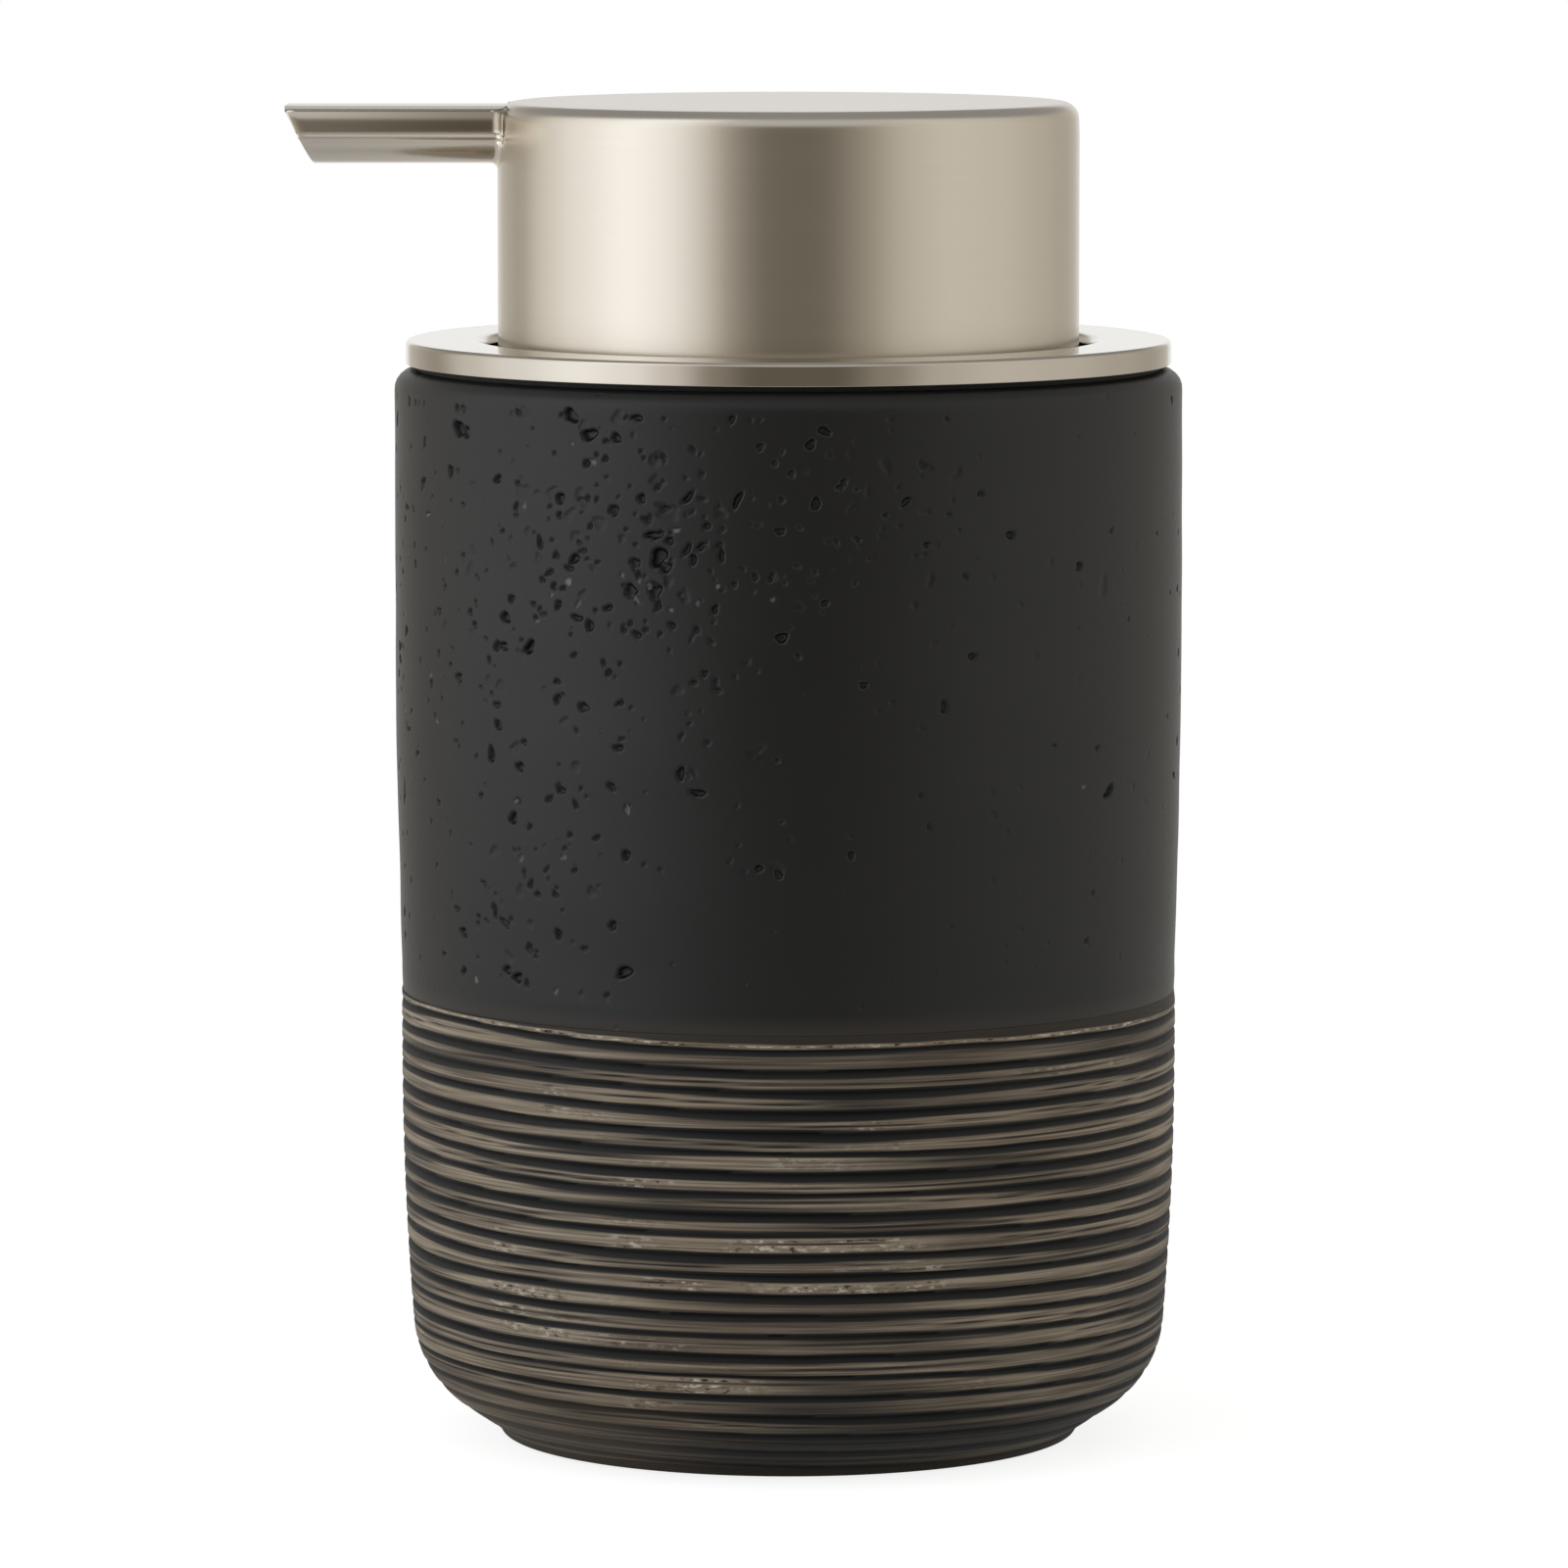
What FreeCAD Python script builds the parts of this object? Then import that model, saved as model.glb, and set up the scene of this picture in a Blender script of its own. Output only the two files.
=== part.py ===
"""Soap pump dispenser: stoneware vessel, lift-out pump unit, press-down head with a side spout.

Millimetres, +Z up. The origin is the centre of the base pad's underside, on the vessel's axis,
and the spout points along -X. The pump is drawn at rest, with its head up.
"""
import FreeCAD, Part
import math
import os

V = FreeCAD.Vector
AXIS = V(0, 0, 1)

# ---- general clearances ----
running_gap = 0.05       # radial, between a sliding or turning piece and its guide
glue_gap = 0.05          # between two pieces that are bonded or snapped together
free_gap = 0.5           # between pieces that only pass each other
stop_gap = 0.3           # between faces that meet at the end of a stroke
overshoot = 1.0          # how far a cutting shape reaches past what it cuts
same_point = 1e-6        # outline points closer than this are one point

# ---- head: cap, spout and hub ----
cap_radius = 29.45
cap_height = 27.0
cap_wall = 0.8
cap_edge = 1.7           # rounding of the top edge
cap_dip = 3.0            # how far the cap's rim sits below the collar's top
spout_reach = 51.0       # from the axis to the tip of the upper edge
spout_width = 12.0
spout_height = 6.2
spout_side = 2.9         # upright part of the spout's side, above its round belly
spout_wall = 0.8
spout_cut = 3.0          # how much shorter the belly is than the top at the slanted mouth
liner_gap = 0.3          # between the liner and the spout's walls, above and below
liner_bore = 1.3
liner_setback = 2.6      # from the liner's end to the spout's upper tip
root_inset = 0.1         # from the cap's rounded edge in to the spout's inner end
hub_radius = 6.5
hub_seat = 1.6           # depth of the liner's socket in the hub
hub_edge = 0.6
rib_count = 4
rib_thickness = 1.4
rib_rise = 6.0           # from the hub's mouth to the underside of its ribs
skirt_wall = 1.4         # ring that joins the hub's ribs inside the cap
skirt_rise = 2.8         # from the cap's rim to the ring
outlet_ball_radius = 2.2
outlet_lift = 1.2
lift_spare = 0.1         # between a lifted valve ball and what stops it
outlet_stop_height = 0.8
outlet_slot = 1.2
slot_count = 3           # slots in the outlet stop and in the inlet ball's cage
oring_section = 0.65     # radius of the O-ring's round section
oring_rise = 4.0         # from the hub's mouth to the O-ring
oring_clearance = 0.08   # between the O-ring and the stem
oring_groove_spare = 0.15

# ---- pump unit: collar, carrier and seals ----
stroke = 13.0
cap_side_gap = 1.45      # between the cap and the collar's hole
collar_height = 2.4
collar_sheet = 0.9
collar_edge = 0.45
collar_setback = 1.2     # from the vessel's side in to the collar's edge
well_spare = 1.0         # left under the cap's rim at full stroke
lip_depth = 1.6          # height of the collar's turned-down inner lip
carrier_wall = 1.6
floor_thickness = 2.0
plug_clearance = 1.0     # between the carrier's plug and the vessel's bore
plug_edge = 1.0
seal_rise = 10.0         # from the carrier's floor to the plug seal's groove
seal_height = 3.0
seal_groove = 0.8
seal_lip = 0.6           # height of each lip at its rim
seal_stand = 0.1         # the seal's root stands out of its groove by this
seal_chamfer = 0.2
gasket_thickness = 0.5

# ---- pump engine ----
bore_radius = 6.7
cylinder_wall = 1.5
stem_radius = 3.5
stem_bore = 1.8
engine_gasket_height = 0.8
engine_flange_height = 1.2
engine_flange_width = 4.3
guide_flange_height = 1.0
guide_length = 6.0
guide_edge = 0.4
guide_flange_inset = 1.0
wiper_width = 1.6
wiper_height = 1.4
wiper_edge = 0.3
nut_sheet = 1.2
nut_wall = 1.7
boss_wall = 1.7
boss_height = 2.6
nut_grips = 16
nut_grip_radius = 0.7
nut_grip_offset = 0.2    # from the nut's side out to a finger grip's middle
nut_edge = 0.5
piston_height = 5.3
piston_lip = 0.5
piston_lip_width = 0.5
piston_chamfer = 0.2
piston_web = 1.2
piston_hub_wall = 1.1
stem_edge = 0.3
spring_seat_height = 1.5
wire_radius = 0.45
spring_turns = 7
spring_shut = 11.2       # length left for the spring at full stroke
cage_base = 1.2
cage_wall = 1.2
cage_roof = 1.0
cage_slot = 1.0
cage_edge = 0.4
seat_depth = 2.5         # from the barrel's floor down to the inlet seat's edge
seat_throat = 1.5        # height of the narrow throat under the seat
cone_below = 1.0         # the barrel's outer cone starts this far below the socket's top
cone_above = 1.0         # and ends this far above the inlet seat
cone_edge = 1.0
inlet_ball_radius = 2.5
inlet_lift = 1.5
inlet_seat = 2.0
ball_room = 0.5          # radial, around a valve ball
seat_rest = 0.05         # a resting ball's distance from its seat's edge
tube_radius = 3.0
tube_bore = 2.0
socket_depth = 9.5
socket_wall = 1.4
tube_clear = 2.0         # from the dip tube's lowest point to the vessel's floor
tube_slant = 35.0        # degrees that the dip tube's lower end is cut at

# ---- vessel ----
vessel_height = 109.1    # to the top of the rim
rim_width = 6.0          # wall at the rim
rim_edge = 2.2
mouth_chamfer = 0.5
vessel_floor = 6.5
inner_corner = 8.0
band_height = 46.7       # height of the ribbed lower band
band_step = 0.55         # the band's side is this far inside the rim's side
lip_step = 0.05          # the smooth wall's lower lip stands this far past the band's side
lip_edge = 0.3
waist_height = 74.0      # where the smooth wall becomes upright
waist_fillet = 400.0
notch_depth = 0.5
notch_height = 0.8
flank_rise = 26.3
flank_fillet = 346.0
bend_rise = 6.65
bend_inset = 1.48
bend_fillet = 10.8
underside_rise = 1.3
underside_inset = 9.55
foot_inset = 10.15
foot_lift = 0.3          # the pad stands this far below the foot
foot_edge = 0.5
pad_thickness = 1.8
pad_inset = 5.0

# ---- radii that follow from them ----
collar_hole = cap_radius + cap_side_gap
lip_outer = collar_hole + collar_sheet
well_radius = collar_hole + free_gap
plug_radius = well_radius + carrier_wall
mouth_radius = plug_radius + plug_clearance
vessel_radius = mouth_radius + rim_width
band_radius = vessel_radius - band_step
collar_radius = vessel_radius - collar_setback
cylinder_radius = bore_radius + cylinder_wall
engine_flange_radius = cylinder_radius + engine_flange_width
boss_radius = engine_flange_radius + stop_gap + boss_wall
nut_radius = boss_radius + glue_gap + nut_wall
cap_inner = cap_radius - cap_wall
skirt_radius = cap_inner - glue_gap
ball_chamber = outlet_ball_radius + ball_room
cage_bore = inlet_ball_radius + ball_room
liner_radius = spout_height / 2 - spout_wall - liner_gap
pad_radius = band_radius - foot_inset - pad_inset

# ---- heights that follow from them ----
carrier_seat = vessel_height + gasket_thickness
collar_top = carrier_seat + collar_height
flange_top = collar_top - collar_sheet
cap_bottom = collar_top - cap_dip
cap_top = cap_bottom + cap_height
well_floor = cap_bottom - stroke - well_spare
engine_seat = well_floor + engine_gasket_height
flange_seat = engine_seat + engine_flange_height
guide_top = flange_seat + guide_flange_height
nut_top = guide_top + nut_sheet
guide_bottom = flange_seat - guide_length
piston_top = guide_bottom - stop_gap
piston_bottom = piston_top - piston_height
stem_bottom = piston_bottom - glue_gap - spring_seat_height
cage_bottom = stem_bottom - stroke - spring_shut - cage_base
seat_height = cage_bottom - seat_depth
socket_top = seat_height - seat_throat
socket_bottom = socket_top - socket_depth
hub_bottom = nut_top + stroke + stop_gap + free_gap
spout_axis = cap_top - spout_height / 2
stop_bottom = spout_axis - liner_bore - outlet_stop_height
outlet_rest = stop_bottom - lift_spare - outlet_lift - outlet_ball_radius
stem_top = outlet_rest - seat_rest - math.sqrt(outlet_ball_radius ** 2 - stem_bore ** 2)
inlet_rest = seat_height + seat_rest + math.sqrt(inlet_ball_radius ** 2 - inlet_seat ** 2)
cage_ceiling = inlet_rest + inlet_ball_radius + inlet_lift + lift_spare


def corner_points(before, corner, after, radius):
    """Start, middle and end of the arc that rounds a corner of an outline."""
    back = (before - corner).normalize()
    ahead = (after - corner).normalize()
    half = back.getAngle(ahead) / 2
    inward = (back + ahead).normalize()
    reach = radius / math.tan(half)
    middle = corner + inward * (radius / math.sin(half) - radius)
    return corner + back * reach, middle, corner + ahead * reach


def outline(corners):
    """Closed wire in the XZ plane through (r, z) corners, or (r, z, rounding radius) ones."""
    places = [V(c[0], 0, c[1]) for c in corners]
    radii = [c[2] if len(c) > 2 else 0 for c in corners]
    count = len(corners)
    stretches = []
    arcs = []
    for i in range(count):
        if radii[i] > 0:
            start, middle, end = corner_points(places[i - 1], places[i], places[(i + 1) % count], radii[i])
            arcs.append(Part.Arc(start, middle, end).toShape())
        else:
            start = end = places[i]
            arcs.append(None)
        stretches.append((start, end))
    edges = []
    for i in range(count):
        if arcs[i]:
            edges.append(arcs[i])
        leave = stretches[i][1]
        arrive = stretches[(i + 1) % count][0]
        if leave.distanceToPoint(arrive) > same_point:
            edges.append(Part.makeLine(leave, arrive))
    return Part.Wire(edges)


def turned(corners):
    """Solid turned about the Z axis from a half section given as (r, z) corners."""
    return Part.Face(outline(corners)).revolve(V(0, 0, 0), AXIS, 360)


def tube(inner, outer, bottom, top):
    """Plain ring or bush between two radii and two heights."""
    return turned([(inner, bottom), (outer, bottom), (outer, top), (inner, top)])


def rod(radius, bottom, top):
    """Upright cylinder on the axis."""
    return Part.makeCylinder(radius, top - bottom, V(0, 0, bottom), AXIS)


def lengthwise(radius, start, end, height):
    """Cylinder along X at a height, from one x to another."""
    return Part.makeCylinder(radius, end - start, V(start, 0, height), V(1, 0, 0))


def around(shape, count, first=0.0):
    """List of copies of a shape turned evenly about the axis."""
    copies = []
    for i in range(count):
        copy = shape.copy()
        copy.rotate(V(0, 0, 0), AXIS, first + 360.0 * i / count)
        copies.append(copy)
    return copies


# ---------------------------------------------------------------- vessel

def vessel():
    """Thick-walled pot: foot, rounded underside, stepped-in lower band, smooth wall, open mouth."""
    foot_radius = band_radius - foot_inset
    recess = pad_thickness
    bottom = foot_lift
    return turned([
        (0, recess),
        (pad_radius + glue_gap, recess),
        (pad_radius + glue_gap, bottom),
        (foot_radius, bottom, foot_edge),
        (foot_radius, underside_rise),
        (band_radius - underside_inset, underside_rise),
        (band_radius - bend_inset, bend_rise, bend_fillet),
        (band_radius, flank_rise, flank_fillet),
        (band_radius, band_height - notch_height),
        (band_radius - notch_depth, band_height - notch_height),
        (band_radius - notch_depth, band_height),
        (band_radius + lip_step, band_height, lip_edge),
        (vessel_radius, waist_height, waist_fillet),
        (vessel_radius, vessel_height, rim_edge),
        (mouth_radius + mouth_chamfer, vessel_height),
        (mouth_radius, vessel_height - mouth_chamfer),
        (mouth_radius, vessel_floor, inner_corner),
        (0, vessel_floor),
    ])


def base_pad():
    """Non-slip disc let into the foot, standing a little proud of it."""
    return rod(pad_radius, 0, pad_thickness)


# ---------------------------------------------------------------- pump unit

def collar_ring():
    """Pressed metal ring: flat top, outer skirt down to the gasket, inner edge turned down."""
    inside = collar_radius - collar_sheet
    return turned([
        (inside, carrier_seat),
        (collar_radius, carrier_seat),
        (collar_radius, collar_top, collar_edge),
        (collar_hole, collar_top, collar_edge),
        (collar_hole, collar_top - lip_depth),
        (lip_outer, collar_top - lip_depth),
        (lip_outer, flange_top),
        (inside, flange_top),
    ])


def pump_carrier():
    """Cup that plugs the mouth: flange under the collar, deep well, floor with a threaded boss."""
    flange_radius = collar_radius - collar_sheet - free_gap
    rebate = lip_outer + glue_gap
    rebate_floor = collar_top - lip_depth - glue_gap
    groove_bottom = well_floor + seal_rise
    groove_top = groove_bottom + seal_height
    groove_radius = plug_radius - seal_groove
    under = well_floor - floor_thickness
    hole = cylinder_radius + glue_gap
    return turned([
        (hole, under),
        (plug_radius, under, plug_edge),
        (plug_radius, groove_bottom),
        (groove_radius, groove_bottom),
        (groove_radius, groove_top),
        (plug_radius, groove_top),
        (plug_radius, carrier_seat),
        (flange_radius, carrier_seat),
        (flange_radius, flange_top),
        (rebate, flange_top),
        (rebate, rebate_floor),
        (well_radius, rebate_floor),
        (well_radius, well_floor),
        (boss_radius, well_floor),
        (boss_radius, well_floor + boss_height),
        (boss_radius - boss_wall, well_floor + boss_height),
        (boss_radius - boss_wall, well_floor),
        (hole, well_floor),
    ])


def rim_gasket():
    """Flat ring between the carrier's flange and the vessel's rim."""
    inner = mouth_radius + mouth_chamfer + glue_gap
    outer = vessel_radius - rim_edge
    return tube(inner, outer, vessel_height, carrier_seat)


def plug_seal():
    """Soft ring in the plug's groove, with two lips that wipe the vessel's bore."""
    bottom = well_floor + seal_rise + glue_gap
    top = bottom + seal_height - 2 * glue_gap
    inner = plug_radius - seal_groove + glue_gap
    root = plug_radius + seal_stand
    lip = mouth_radius - running_gap
    middle = (bottom + top) / 2
    return turned([
        (inner, bottom),
        (root, bottom),
        (lip, bottom + seal_chamfer),
        (lip, bottom + seal_lip),
        (root, middle),
        (lip, top - seal_lip),
        (lip, top - seal_chamfer),
        (root, top),
        (inner, top),
    ])


def engine_gasket():
    """Washer that seals the cylinder's flange to the carrier's floor."""
    return tube(cylinder_radius + glue_gap, engine_flange_radius, well_floor, engine_seat)


def pump_cylinder():
    """Barrel with a top flange, a valve seat at its foot and a socket for the dip tube."""
    socket_radius = tube_radius + glue_gap
    socket_outer = socket_radius + socket_wall
    return turned([
        (bore_radius, flange_seat),
        (bore_radius, cage_bottom),
        (cage_bore, cage_bottom),
        (cage_bore, seat_height + cage_bore - inlet_seat),
        (inlet_seat, seat_height),
        (inlet_seat, socket_top),
        (socket_radius, socket_top),
        (socket_radius, socket_bottom),
        (socket_outer, socket_bottom),
        (socket_outer, socket_top - cone_below),
        (cylinder_radius, seat_height + cone_above, cone_edge),
        (cylinder_radius, engine_seat),
        (engine_flange_radius, engine_seat),
        (engine_flange_radius, flange_seat),
    ])


def stem_guide():
    """Bush in the barrel's mouth that guides the stem, with a recess on top for the wiper."""
    hole = stem_radius + running_gap
    body = bore_radius - glue_gap
    flange = engine_flange_radius - guide_flange_inset
    recess = stem_radius + wiper_width + glue_gap + running_gap
    recess_floor = guide_top - wiper_height - glue_gap
    return turned([
        (hole, guide_bottom),
        (body, guide_bottom, guide_edge),
        (body, flange_seat),
        (flange, flange_seat),
        (flange, guide_top),
        (recess, guide_top),
        (recess, recess_floor),
        (hole, recess_floor),
    ])


def stem_wiper():
    """Soft ring round the stem that keeps water out of the barrel."""
    inner = stem_radius + running_gap
    bottom = guide_top - wiper_height
    return turned([
        (inner, bottom),
        (inner + wiper_width, bottom),
        (inner + wiper_width, guide_top),
        (inner, guide_top, wiper_edge),
    ])


def engine_nut():
    """Ring nut that clamps the pump engine to the carrier's boss, with finger grips round it."""
    inner = boss_radius + glue_gap
    mouth = hub_radius + free_gap
    body = turned([
        (mouth, guide_top),
        (inner, guide_top),
        (inner, well_floor + free_gap),
        (nut_radius, well_floor + free_gap),
        (nut_radius, nut_top, nut_edge),
        (mouth, nut_top),
    ])
    place = V(nut_radius + nut_grip_offset, 0, well_floor)
    grip = Part.makeCylinder(nut_grip_radius, nut_top - well_floor, place, AXIS)
    return body.cut(around(grip, nut_grips))


def inlet_ball_cage():
    """Cap over the inlet valve: spring seat, cage round the ball, slotted roof."""
    outer = cage_bore + cage_wall
    top = cage_ceiling + cage_roof
    body = turned([
        (cage_bore, cage_bottom),
        (bore_radius - glue_gap, cage_bottom),
        (bore_radius - glue_gap, cage_bottom + cage_base),
        (outer, cage_bottom + cage_base),
        (outer, top, cage_edge),
        (0, top),
        (0, cage_ceiling),
        (cage_bore, cage_ceiling),
    ])
    slot_bottom = cage_bottom + cage_base + free_gap
    slot = Part.makeBox(outer, cage_slot, top + overshoot - slot_bottom,
                        V(cage_slot, -cage_slot / 2, slot_bottom))
    return body.cut(around(slot, slot_count))


def return_spring():
    """Compression spring between the cage and the stem's foot."""
    bottom = cage_bottom + cage_base + wire_radius + glue_gap
    top = stem_bottom - wire_radius - glue_gap
    mean = (cage_bore + cage_wall + bore_radius) / 2
    helix = Part.makeHelix((top - bottom) / spring_turns, top - bottom, mean)
    helix.translate(V(0, 0, bottom))
    section = Part.Wire(Part.makeCircle(wire_radius, V(mean, 0, bottom), V(0, 1, 0)))
    return Part.Wire(helix).makePipeShell([section], True, True)


def dip_tube():
    """Straight tube from the barrel's socket to just above the floor, cut slantwise below."""
    bottom = vessel_floor + tube_clear
    pipe = tube(tube_bore, tube_radius, bottom, socket_top - glue_gap)
    block = 4 * tube_radius
    slant = Part.makeBox(block, block, block, V(-tube_radius, -block / 2, -block))
    slant.rotate(V(-tube_radius, 0, 0), V(0, 1, 0), -tube_slant)
    slant.translate(V(0, 0, bottom))
    return pipe.cut(slant)


def inlet_ball():
    """Valve ball at the barrel's foot."""
    return Part.makeSphere(inlet_ball_radius, V(0, 0, inlet_rest))


# ---------------------------------------------------------------- plunger

def piston_stem():
    """Hollow rod from the piston up into the hub, with a foot that the spring pushes on."""
    foot = bore_radius - free_gap
    seat = stem_bottom + spring_seat_height
    return turned([
        (stem_bore, stem_bottom),
        (foot, stem_bottom, stem_edge),
        (foot, seat),
        (stem_radius, seat),
        (stem_radius, stem_top, stem_edge),
        (stem_bore, stem_top),
    ])


def piston_seal():
    """Double-lipped piston ring round the stem."""
    inner = stem_radius + glue_gap / 2
    hub = inner + piston_hub_wall
    lip = bore_radius - running_gap
    middle = (piston_bottom + piston_top) / 2
    return turned([
        (inner, piston_bottom),
        (hub, piston_bottom),
        (lip - piston_lip_width, piston_bottom),
        (lip, piston_bottom + piston_chamfer),
        (lip, piston_bottom + piston_chamfer + piston_lip),
        (hub, middle - piston_web / 2),
        (hub, middle + piston_web / 2),
        (lip, piston_top - piston_chamfer - piston_lip),
        (lip, piston_top - piston_chamfer),
        (lip - piston_lip_width, piston_top),
        (inner, piston_top),
    ])


def outlet_ball():
    """Valve ball on the stem's mouth."""
    return Part.makeSphere(outlet_ball_radius, V(0, 0, outlet_rest))


# ---------------------------------------------------------------- head

def spout_section(grow):
    """Flat-topped section with upright sides and a round belly, as a face in the YZ plane."""
    half = spout_width / 2 + grow
    top = cap_top + grow
    shoulder = cap_top - spout_side
    bottom = cap_top - spout_height - grow
    edges = [
        Part.makeLine(V(0, -half, shoulder), V(0, -half, top)),
        Part.makeLine(V(0, -half, top), V(0, half, top)),
        Part.makeLine(V(0, half, top), V(0, half, shoulder)),
        Part.Arc(V(0, half, shoulder), V(0, 0, bottom), V(0, -half, shoulder)).toShape(),
    ]
    return Part.Face(Part.Wire(edges))


def spout_bar(grow, start, end):
    """Straight bar of the spout's section between two x values."""
    bar = spout_section(grow).extrude(V(end - start, 0, 0))
    bar.translate(V(start, 0, 0))
    return bar


def spout_root():
    """x of the spout's inner end: just past the cap's rounded edge."""
    return -(cap_radius - cap_edge - root_inset)


def cap_shell():
    """Metal cup, open below, with a window through its side for the spout."""
    inner_edge = cap_edge - cap_wall
    shell = turned([
        (cap_inner, cap_bottom),
        (cap_radius, cap_bottom),
        (cap_radius, cap_top, cap_edge),
        (0, cap_top),
        (0, cap_top - cap_wall),
        (cap_inner, cap_top - cap_wall, inner_edge),
    ])
    window = spout_bar(glue_gap, -cap_radius - overshoot, spout_root() + glue_gap)
    return shell.cut(window)


def spout_tube():
    """Hollow spout, flush with the cap's top, its mouth cut back below."""
    outer = spout_bar(0, -spout_reach, spout_root())
    inner = spout_bar(-spout_wall, -spout_reach - overshoot, spout_root() + overshoot)
    mouth = Part.Face(Part.makePolygon([
        V(-spout_reach, -spout_width, cap_top),
        V(-spout_reach + spout_cut, -spout_width, cap_top - spout_height),
        V(-spout_reach + 2 * spout_cut, -spout_width, cap_top - 2 * spout_height),
        V(-spout_reach - spout_cut, -spout_width, cap_top - 2 * spout_height),
        V(-spout_reach - spout_cut, -spout_width, cap_top + spout_height),
        V(-spout_reach - spout_cut / 2, -spout_width, cap_top + spout_height),
        V(-spout_reach, -spout_width, cap_top),
    ])).extrude(V(0, 2 * spout_width, 0))
    return outer.cut(inner).cut(mouth)


def spout_liner():
    """Plastic tube that carries the soap from the hub to the spout's mouth."""
    start = -spout_reach + liner_setback + spout_cut / 2
    end = -(hub_radius - hub_seat) - glue_gap
    outer = lengthwise(liner_radius, start, end, spout_axis)
    return outer.cut(lengthwise(liner_bore, start - overshoot, end + overshoot, spout_axis))


def actuator_hub():
    """Socket for the stem, valve chamber above it, and ribs out to a ring inside the cap."""
    top = cap_top - cap_wall - glue_gap
    socket = stem_radius + running_gap
    groove = stem_radius + 2 * oring_section + oring_groove_spare
    groove_middle = hub_bottom + oring_rise
    groove_half = oring_section + glue_gap
    boss = turned([
        (socket, hub_bottom),
        (hub_radius, hub_bottom, hub_edge),
        (hub_radius, top),
        (0, top),
        (0, spout_axis + liner_bore),
        (ball_chamber, spout_axis + liner_bore),
        (ball_chamber, stem_top + glue_gap),
        (socket, stem_top + glue_gap),
        (socket, groove_middle + groove_half),
        (groove, groove_middle + groove_half),
        (groove, groove_middle - groove_half),
        (socket, groove_middle - groove_half),
    ])
    rib_reach = cap_radius - cap_edge - glue_gap
    rib_start = (socket + hub_radius) / 2
    rib_bottom = hub_bottom + rib_rise
    rib = Part.makeBox(rib_reach - rib_start, rib_thickness, top - rib_bottom,
                       V(rib_start, -rib_thickness / 2, rib_bottom))
    ring_top = cap_top - spout_height - free_gap
    ring = tube(skirt_radius - skirt_wall, skirt_radius, cap_bottom + skirt_rise, ring_top)
    body = boss.fuse([ring] + around(rib, rib_count, 180.0 / rib_count))
    seat = lengthwise(liner_radius + glue_gap, -hub_radius - overshoot, -(hub_radius - hub_seat), spout_axis)
    channel = lengthwise(liner_bore, -hub_radius, 0, spout_axis)
    return body.cut([seat, channel]).removeSplitter()


def outlet_stop():
    """Slotted disc in the hub that limits the outlet ball's lift."""
    outer = ball_chamber - glue_gap
    disc = rod(outer, stop_bottom, stop_bottom + outlet_stop_height)
    slot = Part.makeBox(outer, outlet_slot, 2 * outlet_stop_height,
                        V(outlet_slot / 2, -outlet_slot / 2, stop_bottom - outlet_stop_height / 2))
    return disc.cut(around(slot, slot_count))


def hub_oring():
    """O-ring between the hub and the stem."""
    mean = stem_radius + oring_section + oring_clearance
    return Part.makeTorus(mean, oring_section, V(0, 0, hub_bottom + oring_rise), AXIS)


NODES = {
    "vessel": vessel,
    "base_pad": base_pad,
    "collar_ring": collar_ring,
    "pump_carrier": pump_carrier,
    "rim_gasket": rim_gasket,
    "plug_seal": plug_seal,
    "engine_gasket": engine_gasket,
    "pump_cylinder": pump_cylinder,
    "stem_guide": stem_guide,
    "stem_wiper": stem_wiper,
    "engine_nut": engine_nut,
    "inlet_ball_cage": inlet_ball_cage,
    "return_spring": return_spring,
    "dip_tube": dip_tube,
    "inlet_ball": inlet_ball,
    "piston_stem": piston_stem,
    "piston_seal": piston_seal,
    "outlet_ball": outlet_ball,
    "cap_shell": cap_shell,
    "spout_tube": spout_tube,
    "spout_liner": spout_liner,
    "actuator_hub": actuator_hub,
    "outlet_stop": outlet_stop,
    "hub_oring": hub_oring,
}

os.makedirs("parts", exist_ok=True)
for name, make in NODES.items():
    shape = make()
    shape.exportStep("parts/%s.step" % name)
    box = shape.BoundBox
    print("%-16s solids %d valid %s volume %9.1f  z %7.2f to %7.2f" % (
        name, len(shape.Solids), shape.isValid(), shape.Volume, box.ZMin, box.ZMax))
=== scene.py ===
"""Looks of a soap pump dispenser: pitted charcoal stoneware, bronze-rubbed ribs, brushed metal head.

Sizes are worked out in millimetres and turned into metres when a mesh is made. A turn of 0 is
the front, towards -Y, and a quarter turn is +X. The spout points along -X.
"""
import math
import bpy
import numpy as np
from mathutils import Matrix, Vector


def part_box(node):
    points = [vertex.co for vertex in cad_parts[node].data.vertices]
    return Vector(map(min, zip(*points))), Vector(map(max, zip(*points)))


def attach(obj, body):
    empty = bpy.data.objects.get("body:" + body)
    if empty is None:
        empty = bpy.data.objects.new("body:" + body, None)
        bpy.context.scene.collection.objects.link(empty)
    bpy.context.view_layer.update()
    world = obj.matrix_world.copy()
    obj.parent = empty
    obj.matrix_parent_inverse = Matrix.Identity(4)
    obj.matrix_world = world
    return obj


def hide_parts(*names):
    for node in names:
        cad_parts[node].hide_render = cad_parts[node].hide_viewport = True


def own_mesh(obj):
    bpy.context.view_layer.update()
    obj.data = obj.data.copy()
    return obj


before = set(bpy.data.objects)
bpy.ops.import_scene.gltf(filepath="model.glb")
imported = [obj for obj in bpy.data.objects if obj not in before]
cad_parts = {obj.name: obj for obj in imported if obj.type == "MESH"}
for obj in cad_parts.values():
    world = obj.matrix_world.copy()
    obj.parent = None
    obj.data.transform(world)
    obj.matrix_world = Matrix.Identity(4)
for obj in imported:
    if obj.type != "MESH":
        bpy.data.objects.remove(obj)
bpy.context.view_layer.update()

MM = 0.001
FULL_TURN = 2 * math.pi


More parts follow.
